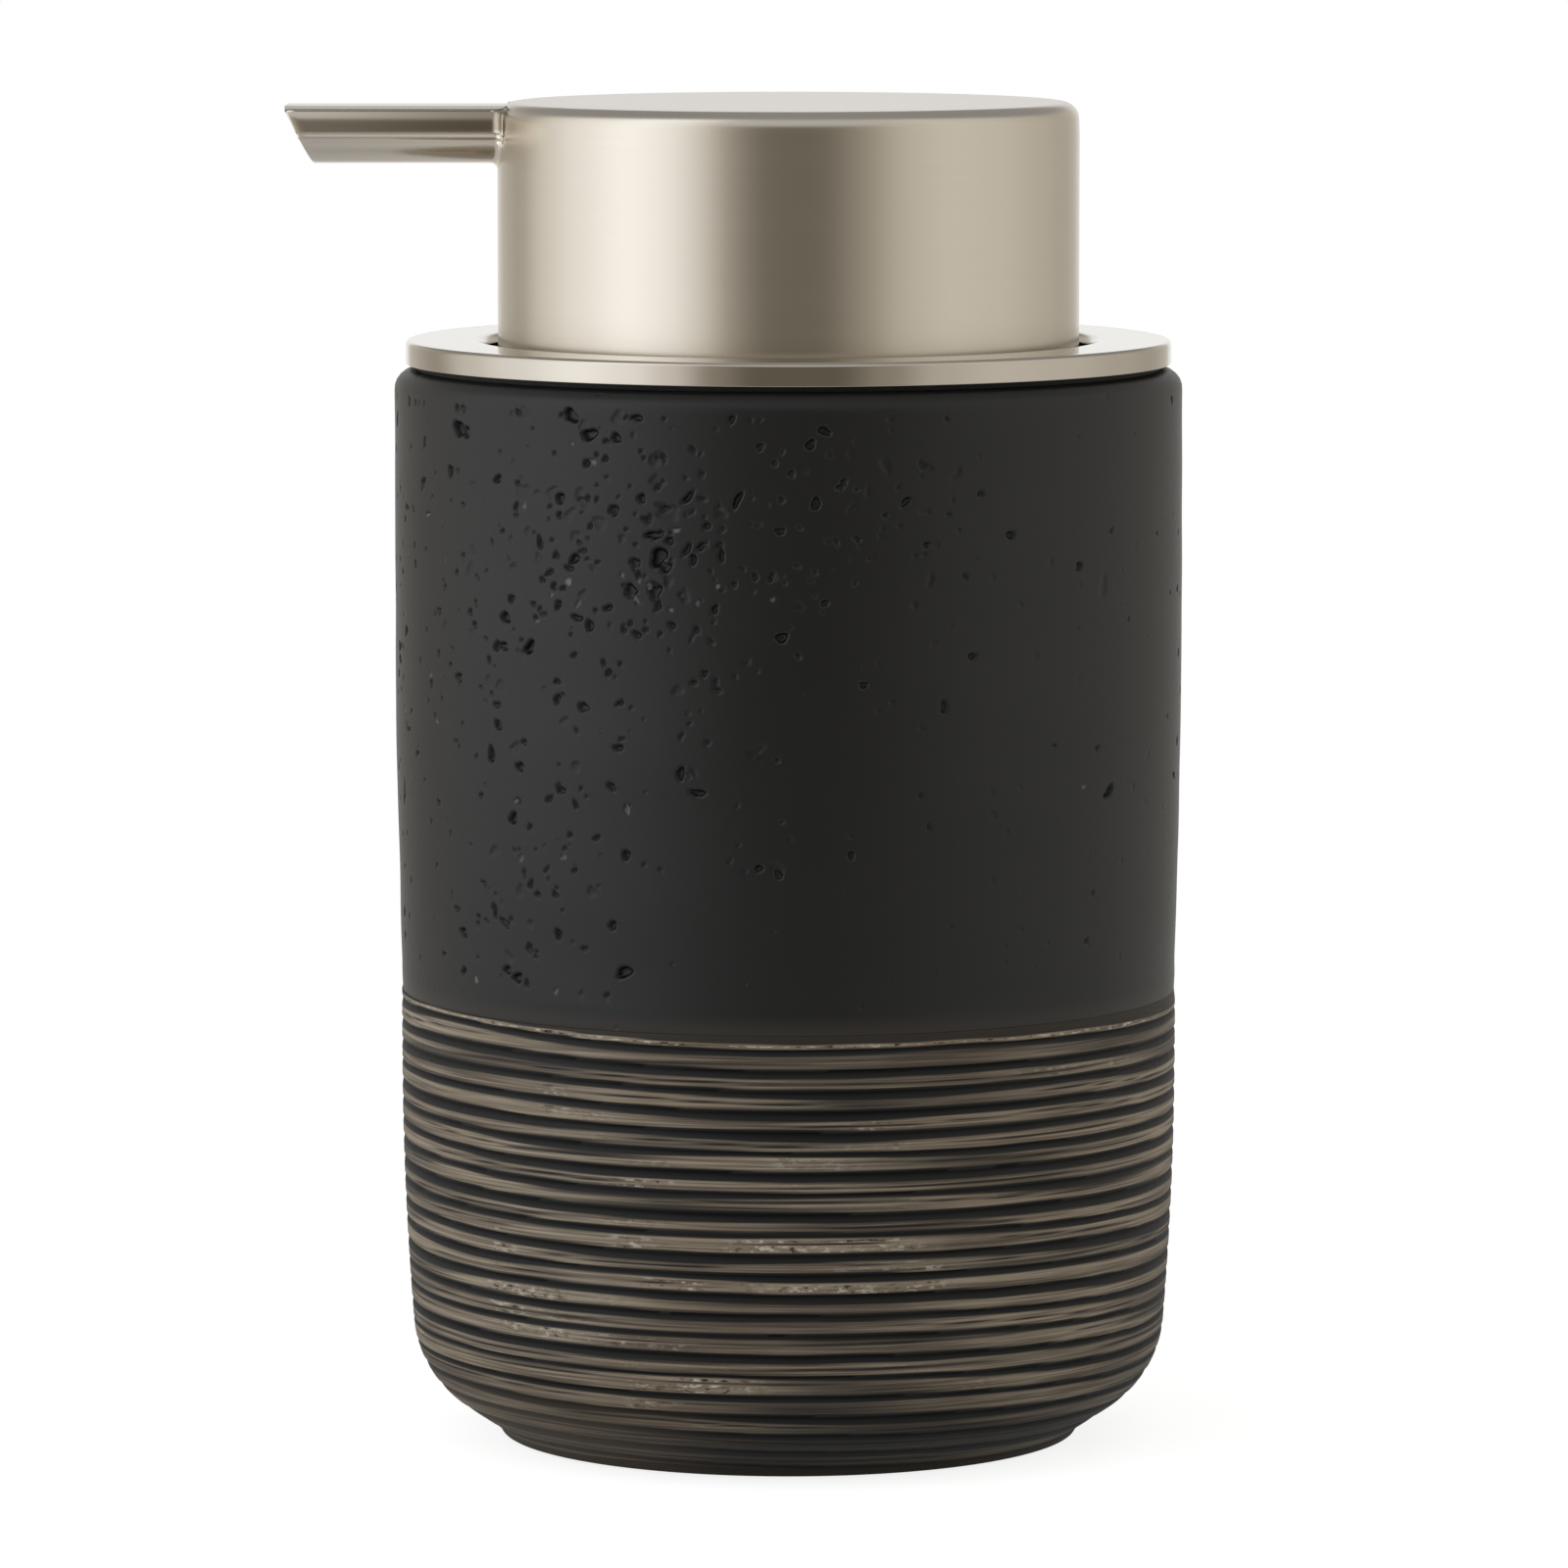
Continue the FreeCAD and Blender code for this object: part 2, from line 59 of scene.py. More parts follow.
def box_mm(node):
    """Lowest and highest corners of a CAD node, in millimetres."""
    low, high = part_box(node)
    return np.array(low) / MM, np.array(high) / MM


# ---------------------------------------------------------------- sizes taken from the frame
vessel_low, vessel_high = box_mm("vessel")
collar_low, collar_high = box_mm("collar_ring")
cap_low, cap_high = box_mm("cap_shell")
spout_low = box_mm("spout_tube")[0]
spring_low, spring_high = box_mm("return_spring")
pad_high = box_mm("base_pad")[1]

vessel_radius = vessel_high[0]
rim_height = vessel_high[2]
collar_radius = collar_high[0]
collar_top = collar_high[2]
cap_radius = cap_high[1]
cap_top = cap_high[2]
pad_radius = pad_high[0]

# ---------------------------------------------------------------- vessel sizes
wall_at_rim = 6.0
rim_edge = 2.2
mouth_chamfer = 0.5
vessel_floor = 6.5
inner_corner = 8.0
joint_height = 45.9      # where the smooth wall ends and the ribbed band begins
band_step = 0.55
ridge_relief = 0.13
lip_height = 2.2         # from the joint up to where the smooth wall begins to draw in
lip_edge = 14.0
joint_edge = 0.04
waist_height = 74.0
waist_round = 400.0
flank_height = 26.3
flank_round = 346.0
bend_height = 6.65
bend_inset = 1.48
bend_round = 10.8
foot_radius = vessel_radius - 10.7
foot_edge = 0.4
foot_neck = 1.2
foot_flare = 0.55        # the foot widens by this up to its neck
foot_flat = 1.5          # width of the ring that the foot stands on
pad_gap = 0.05

band_radius = vessel_radius - band_step
bore_radius = vessel_radius - wall_at_rim


# ---------------------------------------------------------------- outlines and numbers
def smooth(x):
    """0 below 0, 1 above 1, and an S-shaped cubic between."""
    x = np.clip(x, 0, 1)
    return x * x * (3 - 2 * x)


def ripple(turn, along, seed, waves=12, most_turns=9, wave_length=20.0):
    """Smooth wandering value of about -1 to 1: a sum of cosines, each a whole number of waves
    round the axis and a random slope along the surface, so that it closes on itself."""
    rng = np.random.default_rng(seed)
    total = 0
    for _ in range(waves):
        turns = rng.integers(1, most_turns + 1)
        slope = rng.normal() * FULL_TURN / wave_length
        total = total + np.cos(turns * turn + slope * along + rng.uniform(0, FULL_TURN))
    return total / math.sqrt(waves)


def rounded(corners, step, closed):
    """Points along an outline of (r, z) or (r, z, rounding) corners: straight runs and tangent
    arcs, spaced by about the step. A closed outline doesn't repeat its first point."""
    places = [np.array(c[:2], float) for c in corners]
    rounding = [c[2] if len(c) > 2 else 0.0 for c in corners]
    count = len(corners)
    stretches = []
    for i, place in enumerate(places):
        if rounding[i] <= 0:
            stretches.append(place[None])
            continue
        back = places[i - 1] - place
        ahead = places[(i + 1) % count] - place
        back /= np.linalg.norm(back)
        ahead /= np.linalg.norm(ahead)
        half = math.acos(np.clip(back @ ahead, -1, 1)) / 2
        middle = place + (back + ahead) / np.linalg.norm(back + ahead) * rounding[i] / math.sin(half)
        start = place + back * rounding[i] / math.tan(half) - middle
        sweep = math.pi - 2 * half
        sign = np.sign(-back[0] * ahead[1] + back[1] * ahead[0])
        pieces = max(5, math.ceil(rounding[i] * sweep / step))
        angle = sign * sweep * np.linspace(0, 1, pieces + 1)
        turned = np.stack([
            start[0] * np.cos(angle) - start[1] * np.sin(angle),
            start[0] * np.sin(angle) + start[1] * np.cos(angle),
        ], 1)
        stretches.append(middle + turned)
    points = []
    for i, stretch in enumerate(stretches):
        points.append(stretch)
        if i + 1 == count and not closed:
            break
        leave = stretch[-1]
        arrive = stretches[(i + 1) % count][0]
        pieces = max(1, math.ceil(np.linalg.norm(arrive - leave) / step))
        share = np.arange(1, pieces)[:, None] / pieces
        points.append(leave + (arrive - leave) * share)
    line = np.concatenate(points)
    apart = np.linalg.norm(np.diff(line, axis=0), axis=1) > 1e-6
    return line[np.concatenate([[True], apart])]


# ---------------------------------------------------------------- meshes
def make_piece(name, points, faces, values=None):
    """Smooth-shaded mesh object from points in millimetres, faces, and named point values."""
    mesh = bpy.data.meshes.new(name)
    mesh.from_pydata((points * MM).tolist(), [], faces)
    mesh.shade_smooth()
    for title, data in (values or {}).items():
        attribute = mesh.attributes.new(title, "FLOAT", "POINT")
        attribute.data.foreach_set("value", np.asarray(data, np.float32).ravel())
    piece = bpy.data.objects.new(name, mesh)
    bpy.context.scene.collection.objects.link(piece)
    return piece


def grid_piece(name, points, closed, values=None):
    """Mesh of a grid of points, rows by columns, whose columns close on themselves. Closed rows
    also do. Otherwise the first and last rows each lie in one place and become one point."""
    rows, columns = points.shape[:2]
    index = np.arange(rows * columns).reshape(rows, columns)
    keep = np.ones((rows, columns), bool)
    if closed:
        below, above = index, np.roll(index, -1, 0)
    else:
        index = index - columns + 1
        index[0] = 0
        index[-1] = (rows - 2) * columns + 1
        keep[0, 1:] = keep[-1, 1:] = False
        below, above = index[:-1], index[1:]
    quads = np.stack([below, np.roll(below, -1, 1), np.roll(above, -1, 1), above], -1).reshape(-1, 4)
    faces = [[v for k, v in enumerate(q) if v != q[k - 1]] for q in quads.tolist()]
    values = {title: np.broadcast_to(data, keep.shape)[keep] for title, data in (values or {}).items()}
    return make_piece(name, points[keep], faces, values)


def around_axis(radius, height, turn):
    """Points at a radius and height, turned about the axis from the front towards +X."""
    return np.stack(np.broadcast_arrays(radius * np.sin(turn), -radius * np.cos(turn), height), -1)


def turned_piece(name, line, columns, closed, values=None):
    """Surface of an (r, z) line turned about the axis: a grid of the line's points by turns."""
    turn = np.arange(columns) * FULL_TURN / columns
    return grid_piece(name, around_axis(line[:, :1], line[:, 1:], turn), closed, values)


def refined_faces(rows, columns, fine, parts):
    """Faces of a grid that closes both ways, whose marked cells are cut into parts by parts.
    A plain cell beside a cut one takes in the extra points of their shared side, so the surface
    stays closed. Gives the lattice rows and columns of the points, and the faces."""
    tall = rows * parts
    wide = columns * parts
    step = np.arange(parts)
    none = np.zeros(parts, int)
    sides = [
        (np.roll(fine, 1, 0), none, step),
        (np.roll(fine, -1, 1), step, none + parts),
        (np.roll(fine, -1, 0), none + parts, parts - step),
        (np.roll(fine, 1, 1), parts - step, none),
    ]

    def codes(cells, down, over):
        row, column = np.nonzero(cells)
        lattice_row = (row[:, None] * parts + down) % tall
        lattice_column = (column[:, None] * parts + over) % wide
        return lattice_row * wide + lattice_column

    groups = []
    for pattern in range(1 << len(sides)):
        cells = ~fine
        down, over = [], []
        for bit, (beside, side_down, side_over) in enumerate(sides):
            cut = bool(pattern >> bit & 1)
            cells = cells & (beside == cut)
            used = parts if cut else 1
            down.extend(side_down[:used])
            over.extend(side_over[:used])
        groups.append(codes(cells, np.array(down), np.array(over)))
    for down in step:
        for over in step:
            groups.append(codes(fine, down + np.array([0, 0, 1, 1]), over + np.array([0, 1, 1, 0])))
    used, inverse = np.unique(np.concatenate([g.ravel() for g in groups]), return_inverse=True)
    faces = []
    start = 0
    for group in groups:
        faces += inverse[start:start + group.size].reshape(group.shape).tolist()
        start += group.size
    return used // wide, used % wide, faces


# ---------------------------------------------------------------- the smooth pitted wall
wall_columns = 390
wall_parts = 4
wall_step = 0.66
pit_count = 700
pit_seed = 11
glint_cluster = 7         # most pits of this one, on the left edge, are pale as painted highlight
pale_largest = 0.38      # half length of the largest pit that does
first_pit = 3.5          # from the joint up to the lowest pit's middle
last_pit = 2.6           # from the rim down to the highest pit's middle
plain_lip = 1.0          # the wall stays even this far above the joint
plain_rim = 1.2          # and this far below the rim
wall_sway = 0.03
pit_clusters = [         # turn in degrees, height, spread in degrees, spread in height, share
    (-26, 96, 18, 6, 0.22),
    (-34, 83, 13, 10, 0.12),
    (-14, 90, 12, 7, 0.08),
    (-42, 62, 9, 8, 0.09),
    (-44, 54, 7, 3, 0.02),
    (-8, 72, 20, 10, 0.04),
    (8, 98, 9, 5, 0.05),
    (-80, 84, 5, 18, 0.08),
    (-62, 84, 7, 18, 0.04),
    (90, 82, 22, 14, 0.06),
    (150, 74, 30, 14, 0.07),
    (-125, 78, 26, 15, 0.07),
]


def scatter_pits():
    """Random pits of the wall: turn, height, half length, half width, tilt, depth, darkness as painted
    shade, outline waves and paleness. Most lie in loose clusters and the rest anywhere. Small ones are
    the most common, and only small ones are pale, as pale chips and, in the cluster on the left edge,
    mostly as painted highlight."""
    rng = np.random.default_rng(pit_seed)
    shares = np.array([c[4] for c in pit_clusters])
    which = rng.choice(len(pit_clusters) + 1, pit_count, p=np.append(shares, 1 - shares.sum()))
    turn = rng.uniform(-math.pi, math.pi, pit_count)
    height = rng.uniform(joint_height, rim_height, pit_count)
    for i, (degrees, middle, wide, tall, _) in enumerate(pit_clusters):
        chosen = which == i
        turn[chosen] = np.radians(rng.normal(degrees, wide, chosen.sum()))
        height[chosen] = rng.normal(middle, tall, chosen.sum())
    half = np.clip(0.30 * np.exp(rng.normal(0, 0.42, pit_count)), 0.2, 0.95)
    stretch = 1 + np.abs(rng.normal(0, 0.38, pit_count))
    shallow = rng.random(pit_count) < 0.16
    half = np.where(shallow, half * 1.5, half)
    tilt = rng.uniform(0, math.pi, pit_count)
    wave = rng.uniform(0, FULL_TURN, (pit_count, 2))
    pale = rng.random(pit_count) < np.where(which == glint_cluster, 0.85, 0.07)
    return {
        "turn": turn,
        "height": np.clip(height, joint_height + first_pit, rim_height - last_pit),
        "long": half * stretch,
        "short": half / np.sqrt(stretch),
        "tilt": tilt,
        "depth": np.where(shallow, 0.10, 0.9 * half),
        "dark": np.where(shallow, 0.45, 1.0),
        "wave": wave,
        "pale": pale & (half < pale_largest),
    }


def pit_depths(pits, turn, height):
    """Depth, darkness and paleness of the pits at each point: the darkness is painted shade, and the
    paleness is pale chips and painted highlight. In a pit's own turned, stretched axes the distance from
    its middle is 1 on an outline with two and three waves. The bowl drops steeply inside the outline and
    is nearly flat in the middle."""
    depth = np.zeros(turn.shape)
    dark = np.zeros(turn.shape)
    pale = np.zeros(turn.shape)
    for i in range(pit_count):
        across = (turn - pits["turn"][i] + math.pi) % FULL_TURN - math.pi
        across = across * vessel_radius
        up = height - pits["height"][i]
        near = np.nonzero(np.maximum(np.abs(across), np.abs(up)) < 1.4 * pits["long"][i])
        across = across[near]
        up = up[near]
        cos, sin = math.cos(pits["tilt"][i]), math.sin(pits["tilt"][i])
        along = (across * cos + up * sin) / pits["long"][i]
        aside = (up * cos - across * sin) / pits["short"][i]
        bearing = np.arctan2(aside, along)
        edge = 1 + 0.14 * np.cos(2 * bearing + pits["wave"][i, 0])
        edge = edge + 0.12 * np.cos(3 * bearing + pits["wave"][i, 1])
        inside = 1 - np.hypot(along, aside) / edge
        depth[near] = np.maximum(depth[near], pits["depth"][i] * smooth(inside / 0.45))
        mark = smooth((inside + 0.05) / 0.3)
        dark[near] = np.maximum(dark[near], pits["dark"][i] * mark)
        pale[near] = np.maximum(pale[near], pits["pale"][i] * mark)
    return depth, dark, pale


def cells_with_pits(pits, row_heights, columns):
    """Marks the grid cells that a pit reaches. The rows are given by their heights."""
    fine = np.zeros((len(row_heights), columns), bool)
    low = np.minimum(row_heights, np.roll(row_heights, -1))
    high = np.maximum(row_heights, np.roll(row_heights, -1))
    pitch = FULL_TURN / columns
    for i in range(pit_count):
        reach = 1.15 * pits["long"][i]
        rows = (high > pits["height"][i] - reach) & (low < pits["height"][i] + reach)
        first = math.floor((pits["turn"][i] - reach / vessel_radius) / pitch)
        last = math.floor((pits["turn"][i] + reach / vessel_radius) / pitch)
        fine[np.ix_(rows, np.arange(first, last + 1) % columns)] = True
    return fine


def vessel_wall():
    """Upper part of the pot: outer wall, rim, mouth and bore, down to the joint. The section
    turned about the axis is a closed loop, and pits are sunk along the radius into its outside."""
    outside = band_radius - ridge_relief
    line = rounded([
        (outside, joint_height, joint_edge),
        (band_radius, joint_height + lip_height, lip_edge),
        (vessel_radius, waist_height, waist_round),
        (vessel_radius, rim_height, rim_edge),
        (bore_radius + mouth_chamfer, rim_height),
        (bore_radius, rim_height - mouth_chamfer),
        (bore_radius, joint_height + inner_corner),
        (bore_radius, joint_height),
    ], wall_step, closed=True)
    rows = len(line)
    pits = scatter_pits()
    outer = line[:, 0] > bore_radius + wall_at_rim / 2
    outer &= (line[:, 1] > joint_height + lip_height) & (line[:, 1] < rim_height - 0.1)
    outer &= np.roll(outer, -1)
    fine = cells_with_pits(pits, np.where(outer, line[:, 1], -1e3), wall_columns)
    fine[~outer] = False
    lattice_row, lattice_column, faces = refined_faces(rows, wall_columns, fine, wall_parts)
    loop = np.concatenate([line, line[:1]])
    place = lattice_row / wall_parts
    radius = np.interp(place, np.arange(rows + 1), loop[:, 0])
    height = np.interp(place, np.arange(rows + 1), loop[:, 1])
    turn = lattice_column / wall_parts * FULL_TURN / wall_columns
    side_of_wall = smooth((radius - bore_radius - wall_at_rim / 2) / 2)
    above_lip = smooth((height - joint_height - plain_lip) / 2)
    below_rim = smooth((rim_height - plain_rim - height) / 0.8)
    side = side_of_wall * above_lip * below_rim
    depth, dark, pale = pit_depths(pits, turn, height)
    sway = wall_sway * (np.clip(ripple(turn, height, 21), -2, 1.6) - 2)
    points = around_axis(radius + side * (sway - depth), height, turn)
    glaze = radius < bore_radius + 0.6
    lip = side_of_wall * (1 - smooth((height - joint_height) / lip_height))
    # The fleck value is pale chips, and painted highlight at the pits on the left edge.
    # The pit value is painted shade in the pits.
    values = {"pit": side * dark, "fleck_and_glint": side * pale, "glaze": glaze, "lip": lip}
    return make_piece("vessel_wall", points, faces, values)


# ---------------------------------------------------------------- the ribbed band and foot
band_columns = 420
band_side_step = 0.2
plain_step = 2.0
ridge_pitch = 2.05
ridge_first = 1.25       # from the joint down to the lower edge of the first ridge
ridge_lean = 0.5         # the ridges lie this much lower on the right than in the middle
ridge_count = 23
ridge_seed = 5
ridge_wander = 0.07      # in ridges, slowly round the pot
ridge_shiver = 0.012     # in ridges, quickly
slit_depth = 0.45        # of a ridge's height
plain_foot = 2.0         # run of the outline from the foot to where the ridges begin
chipped_below = 24.0     # the crests are chipped more below this height
shaded_right_below = 14.0 # painted shade: the crests are darker on the right below this one
lit_brown_below = 10.0       # and painted light gives a lighter brown on the lit left below this one
WORN_SIDES = (0, 140, -115)    # turns in degrees where the crests are most chipped
DARKEST_CRESTS_TURN = 8    # turn in degrees where the crests are made darkest


def ridges(below, turn):
    """Height, bareness, shade and lip, each about 0 to 1, of the thrown ridges at a distance down
    from the joint. The lip is what lies above the first crest. The phase climbs by one for each
    ridge, leans as a tilted plane does, and wanders a little with the turn. Down a ridge
    the surface rises gently from the groove to a broad crest and drops sharply at its lower edge.
    A fine slit splits the crest. The crest is rubbed bare, and the shade is painted shadow, darkest in
    the groove just under the ridge above it."""
    rng = np.random.default_rng(ridge_seed)
    phase = (below - ridge_first - ridge_lean * np.sin(turn)) / ridge_pitch + 1
    phase = phase + ridge_wander * ripple(turn, below, 31, most_turns=4, wave_length=30)
    phase = phase + ridge_shiver * ripple(turn, below, 32, most_turns=24, wave_length=6)
    ridge = np.clip(np.floor(phase), 0, ridge_count - 1).astype(int)
    within = phase - ridge
    turns = rng.integers(1, 7, (4, ridge_count))
    start = rng.uniform(0, FULL_TURN, (4, ridge_count))
    lean = [np.cos(turns[i][ridge] * turn + start[i][ridge] + np.cos(2 * turn + ridge)) for i in range(4)]
    crest_at = rng.uniform(0.28, 0.50, ridge_count)[ridge] + 0.08 * lean[0]
    crest_at = np.where(ridge == 0, 0.80, crest_at)
    edge_at = 0.94 + 0.03 * lean[3]
    drop = 1 - smooth((within - edge_at + 0.06) / 0.08)
    rise = smooth(within / crest_at)
    slit_at = crest_at + rng.uniform(0.12, 0.24, ridge_count)[ridge] + 0.03 * lean[1]
    slit = smooth(0.8 + lean[2]) * np.exp(-((within - slit_at) / 0.045) ** 2) * (ridge > 0)
    height = rise * drop * (1 - slit_depth * slit)
    bare = smooth((within - crest_at + 0.15) / 0.17) * drop * (1 - 0.8 * slit)
    bare = bare * (0.82 + 0.18 * lean[1]) * rng.uniform(0.75, 1.0, ridge_count)[ridge]
    bare = np.where(ridge == 0, 1.5 * smooth((within - 0.70) / 0.12) * drop, bare)
    lip = smooth((0.78 - phase) / 0.12)
    # The third value is painted shadow under the ridge above, fading up towards the crest.
    return height, bare, (1 - lip) * (1 - smooth(within / (0.7 * crest_at))), lip


def vessel_band():
    """Lower part of the pot: foot, rounded underside and ribbed side below the joint, then the bore and
    the floor inside. The section runs from the axis to the axis, and the ridges are taken from the
    radius, by their height below the joint. How bare, chipped or brown the clay is varies with the height
    and with powers and steps of the sine and cosine of the turn. Low down, painted shade darkens the
    crests on the right and painted light gives the left of the foot a lighter brown; the crests near the
    front are made darker."""
    low = vessel_low[2]
    edge = pad_radius + pad_gap
    flat = foot_radius - foot_flat
    under = [(0, pad_high[2]), (edge, pad_high[2]), (edge, low), (flat, low)]
    under = rounded(under, plain_step, closed=False)
    side = rounded([
        (flat, low),
        (foot_radius, low, foot_edge),
        (foot_radius + foot_flare, foot_neck, 1.0),
        (band_radius - bend_inset, bend_height, bend_round),
        (band_radius, flank_height, flank_round),
        (band_radius, joint_height, joint_edge),
        (band_radius - 2 * ridge_relief, joint_height),
    ], band_side_step, closed=False)
    inside = rounded([
        (band_radius - 2 * ridge_relief, joint_height),
        (bore_radius, joint_height),
        (bore_radius, vessel_floor, inner_corner),
        (0, vessel_floor),
    ], plain_step, closed=False)
    line = np.concatenate([under[:-1], side, inside[1:]])
    run = np.concatenate([[0], np.cumsum(np.linalg.norm(np.diff(side, axis=0), axis=1))])
    ribbed = np.zeros(len(line))
    first = len(under) - 1
    ribbed[first:first + len(side)] = smooth((run - plain_foot) / 1.0) * (side[:, 0] > foot_radius)
    ribbed = ribbed[:, None]
    turn = np.arange(band_columns) * FULL_TURN / band_columns
    height, bare, shade, lip = ridges(joint_height - line[:, 1:], turn[None])
    # Painted shade: low down on the right the crests are made darker.
    shaded_right = smooth((shaded_right_below - line[:, 1:]) / 5) * smooth((np.sin(turn) + 0.5) / 0.6)
    # The crests near the front are made darker.
    darker_front_crests = np.maximum(np.cos(turn - math.radians(DARKEST_CRESTS_TURN)), 0) ** 16
    bare = bare * (1 - 0.3 * shaded_right) * (1 - 0.14 * darker_front_crests)
    # Painted light: low down on the lit left the glaze is a lighter brown.
    foot = smooth((lit_brown_below - line[:, 1:]) / 5) * smooth(-(np.sin(turn) + 0.1) / 0.5)
    radius = line[:, :1] - ridge_relief * ribbed * (1 - height)
    points = around_axis(radius, line[:, 1:], turn)
    glaze = (line[:, :1] < bore_radius + 0.1) & (line[:, 1:] > vessel_floor - 0.1)
    worn = np.max([np.maximum(np.cos(turn - math.radians(way)), 0) ** 8 for way in WORN_SIDES], axis=0)
    # The shade value is painted shadow under each ridge.
    values = {"bare": ribbed * bare, "shade": ribbed * shade, "ribbed": ribbed, "glaze": glaze}
    values["worn"] = worn * (0.85 + 0.6 * smooth((chipped_below - line[:, 1:]) / 8))
    values["lip"] = ribbed * lip
    values["foot"] = foot
    return grid_piece("vessel_band", points, False, values)


pad_rounding = 0.4
pad_even = 0.6           # width of the even ring at the pad's edge
groove_depth = 0.35
groove_pitch = 3.2
groove_first = 2         # the grooves lie between these two radii
groove_last = 22


def base_pad():
    """Soft disc under the foot: from the axis, concentric grooves of a clipped cosine of the
    radius on its underside, then its side and its flat top back to the axis."""
    radius = np.linspace(0, pad_radius - pad_even, 140)
    groove = groove_depth * smooth((np.cos(radius * FULL_TURN / groove_pitch) - 0.2) / 0.4)
    groove = groove * (radius > groove_first) * (radius < groove_last)
    under = np.stack([radius, groove], 1)
    side = rounded([
        (pad_radius - pad_even, 0),
        (pad_radius, 0, pad_rounding),
        (pad_radius, pad_high[2]),
        (0, pad_high[2]),
    ], 3.0, closed=False)
    return turned_piece("base_pad_grooved", np.concatenate([under[:-1], side]), 180, False)


# ---------------------------------------------------------------- the metal head
metal_columns = 320
metal_step = 1.0
sheet = 0.8
cap_edge = 1.7
cap_lower_edge = 0.18
cap_taper = 0.12         # the cap draws in by this at its top
cap_taper_height = 3.2   # over about this height
cap_taper_round = 22.0
collar_sheet = 0.9
collar_edge = 0.5
collar_lower_edge = 0.12
collar_hole_edge = 0.9
collar_lip = 1.6
cap_gap = 1.45           # between the cap's side and the collar's hole


def cap():
    """Cup open below, turned from an outline that runs from the axis under the top, down the
    inside, round the lower edge, up the outside, over the rounded edge and back to the axis."""
    inner = cap_radius - sheet
    line = rounded([
        (0, cap_top - sheet),
        (inner, cap_top - sheet, cap_edge - sheet),
        (inner, cap_low[2], cap_lower_edge),
        (cap_radius, cap_low[2], cap_lower_edge),
        (cap_radius, cap_top - cap_taper_height, cap_taper_round),
        (cap_radius - cap_taper, cap_top, cap_edge),
        (0, cap_top),
    ], metal_step, closed=False)
    return turned_piece("cap", line, metal_columns, False)


def collar():
    """Pressed ring turned from a closed outline: outer skirt, flat top, turned-down inner lip."""
    hole = cap_radius + cap_gap
    line = rounded([
        (collar_radius - collar_sheet, collar_low[2]),
        (collar_radius, collar_low[2], collar_lower_edge),
        (collar_radius, collar_top, collar_edge),
        (hole, collar_top, collar_hole_edge),
        (hole, collar_top - collar_lip),
        (hole + collar_sheet, collar_top - collar_lip),
        (hole + collar_sheet, collar_top - collar_sheet),
        (collar_radius - collar_sheet, collar_top - collar_sheet),
    ], metal_step, closed=True)
    return turned_piece("collar", line, metal_columns, True)


spout_crown = 0.28       # the flat of the spout's top lies this far below the cap's top
spout_shoulder = 0.62    # and its upper edges this far
spout_crown_half = 3.0
spout_top_half = 5.48
spout_side_half = 5.95
spout_side_top = 1.35    # where the side becomes upright
spout_crease = 2.9       # from the cap's top down to the crease under the side
crease_depth = 0.19
crease_foot = 3.04
bead_top = 3.45
bead_inset = 0.03
belly_start = 3.62
belly_half = 5.6
spout_wall = 0.8
spout_cut = 3.0
spout_bow = 0.2          # the sides draw in by this much towards the mouth
mouth_edge = 0.12
spout_ceiling = 1.0      # from the cap's top down to the spout's inside
weld_radius = 1.1


def belly(half, top, bottom):
    """Points of the lower half of an ellipse, from its end at -half round to its end at half."""
    angle = np.linspace(0, math.pi, 33)
    return list(zip(-half * np.cos(angle), top - (top - bottom) * np.sin(angle)))


def spout_outside():
    """Outer section in (y, z): a flat top that falls towards its edges, sides that curve
    from a lean to upright, a crease with a fine bead under it, and a round belly."""
    half_line = [
        (spout_side_half - bead_inset, cap_top - bead_top, 0.12),
        (spout_side_half - crease_depth, cap_top - crease_foot, 0.05),
        (spout_side_half, cap_top - spout_crease, 0.08),
        (spout_side_half, cap_top - spout_side_top, 3.2),
        (spout_top_half, cap_top - spout_shoulder, 0.18),
        (spout_crown_half, cap_top - spout_crown, 6.0),
    ]
    mirrored = [(-c[0],) + c[1:] for c in reversed(half_line)]
    round_part = belly(belly_half, cap_top - belly_start, spout_low[2])
    return rounded(mirrored + round_part + half_line, 0.4, closed=True)


def spout_inside(count):
    """Inner section in (y, z), with as many points as the outer one, evenly spread."""
    half = spout_top_half - spout_wall / 2
    ceiling = cap_top - spout_ceiling
    round_part = belly(half, cap_top - belly_start, spout_low[2] + spout_wall)
    line = rounded([(-half, ceiling, 0.3)] + round_part + [(half, ceiling, 0.3)], 0.2, closed=True)
    loop = np.concatenate([line, line[:1]])
    run = np.concatenate([[0], np.cumsum(np.linalg.norm(np.diff(loop, axis=0), axis=1))])
    wanted = np.arange(count) / count * run[-1]
    return np.stack([np.interp(wanted, run, loop[:, i]) for i in range(2)], 1)


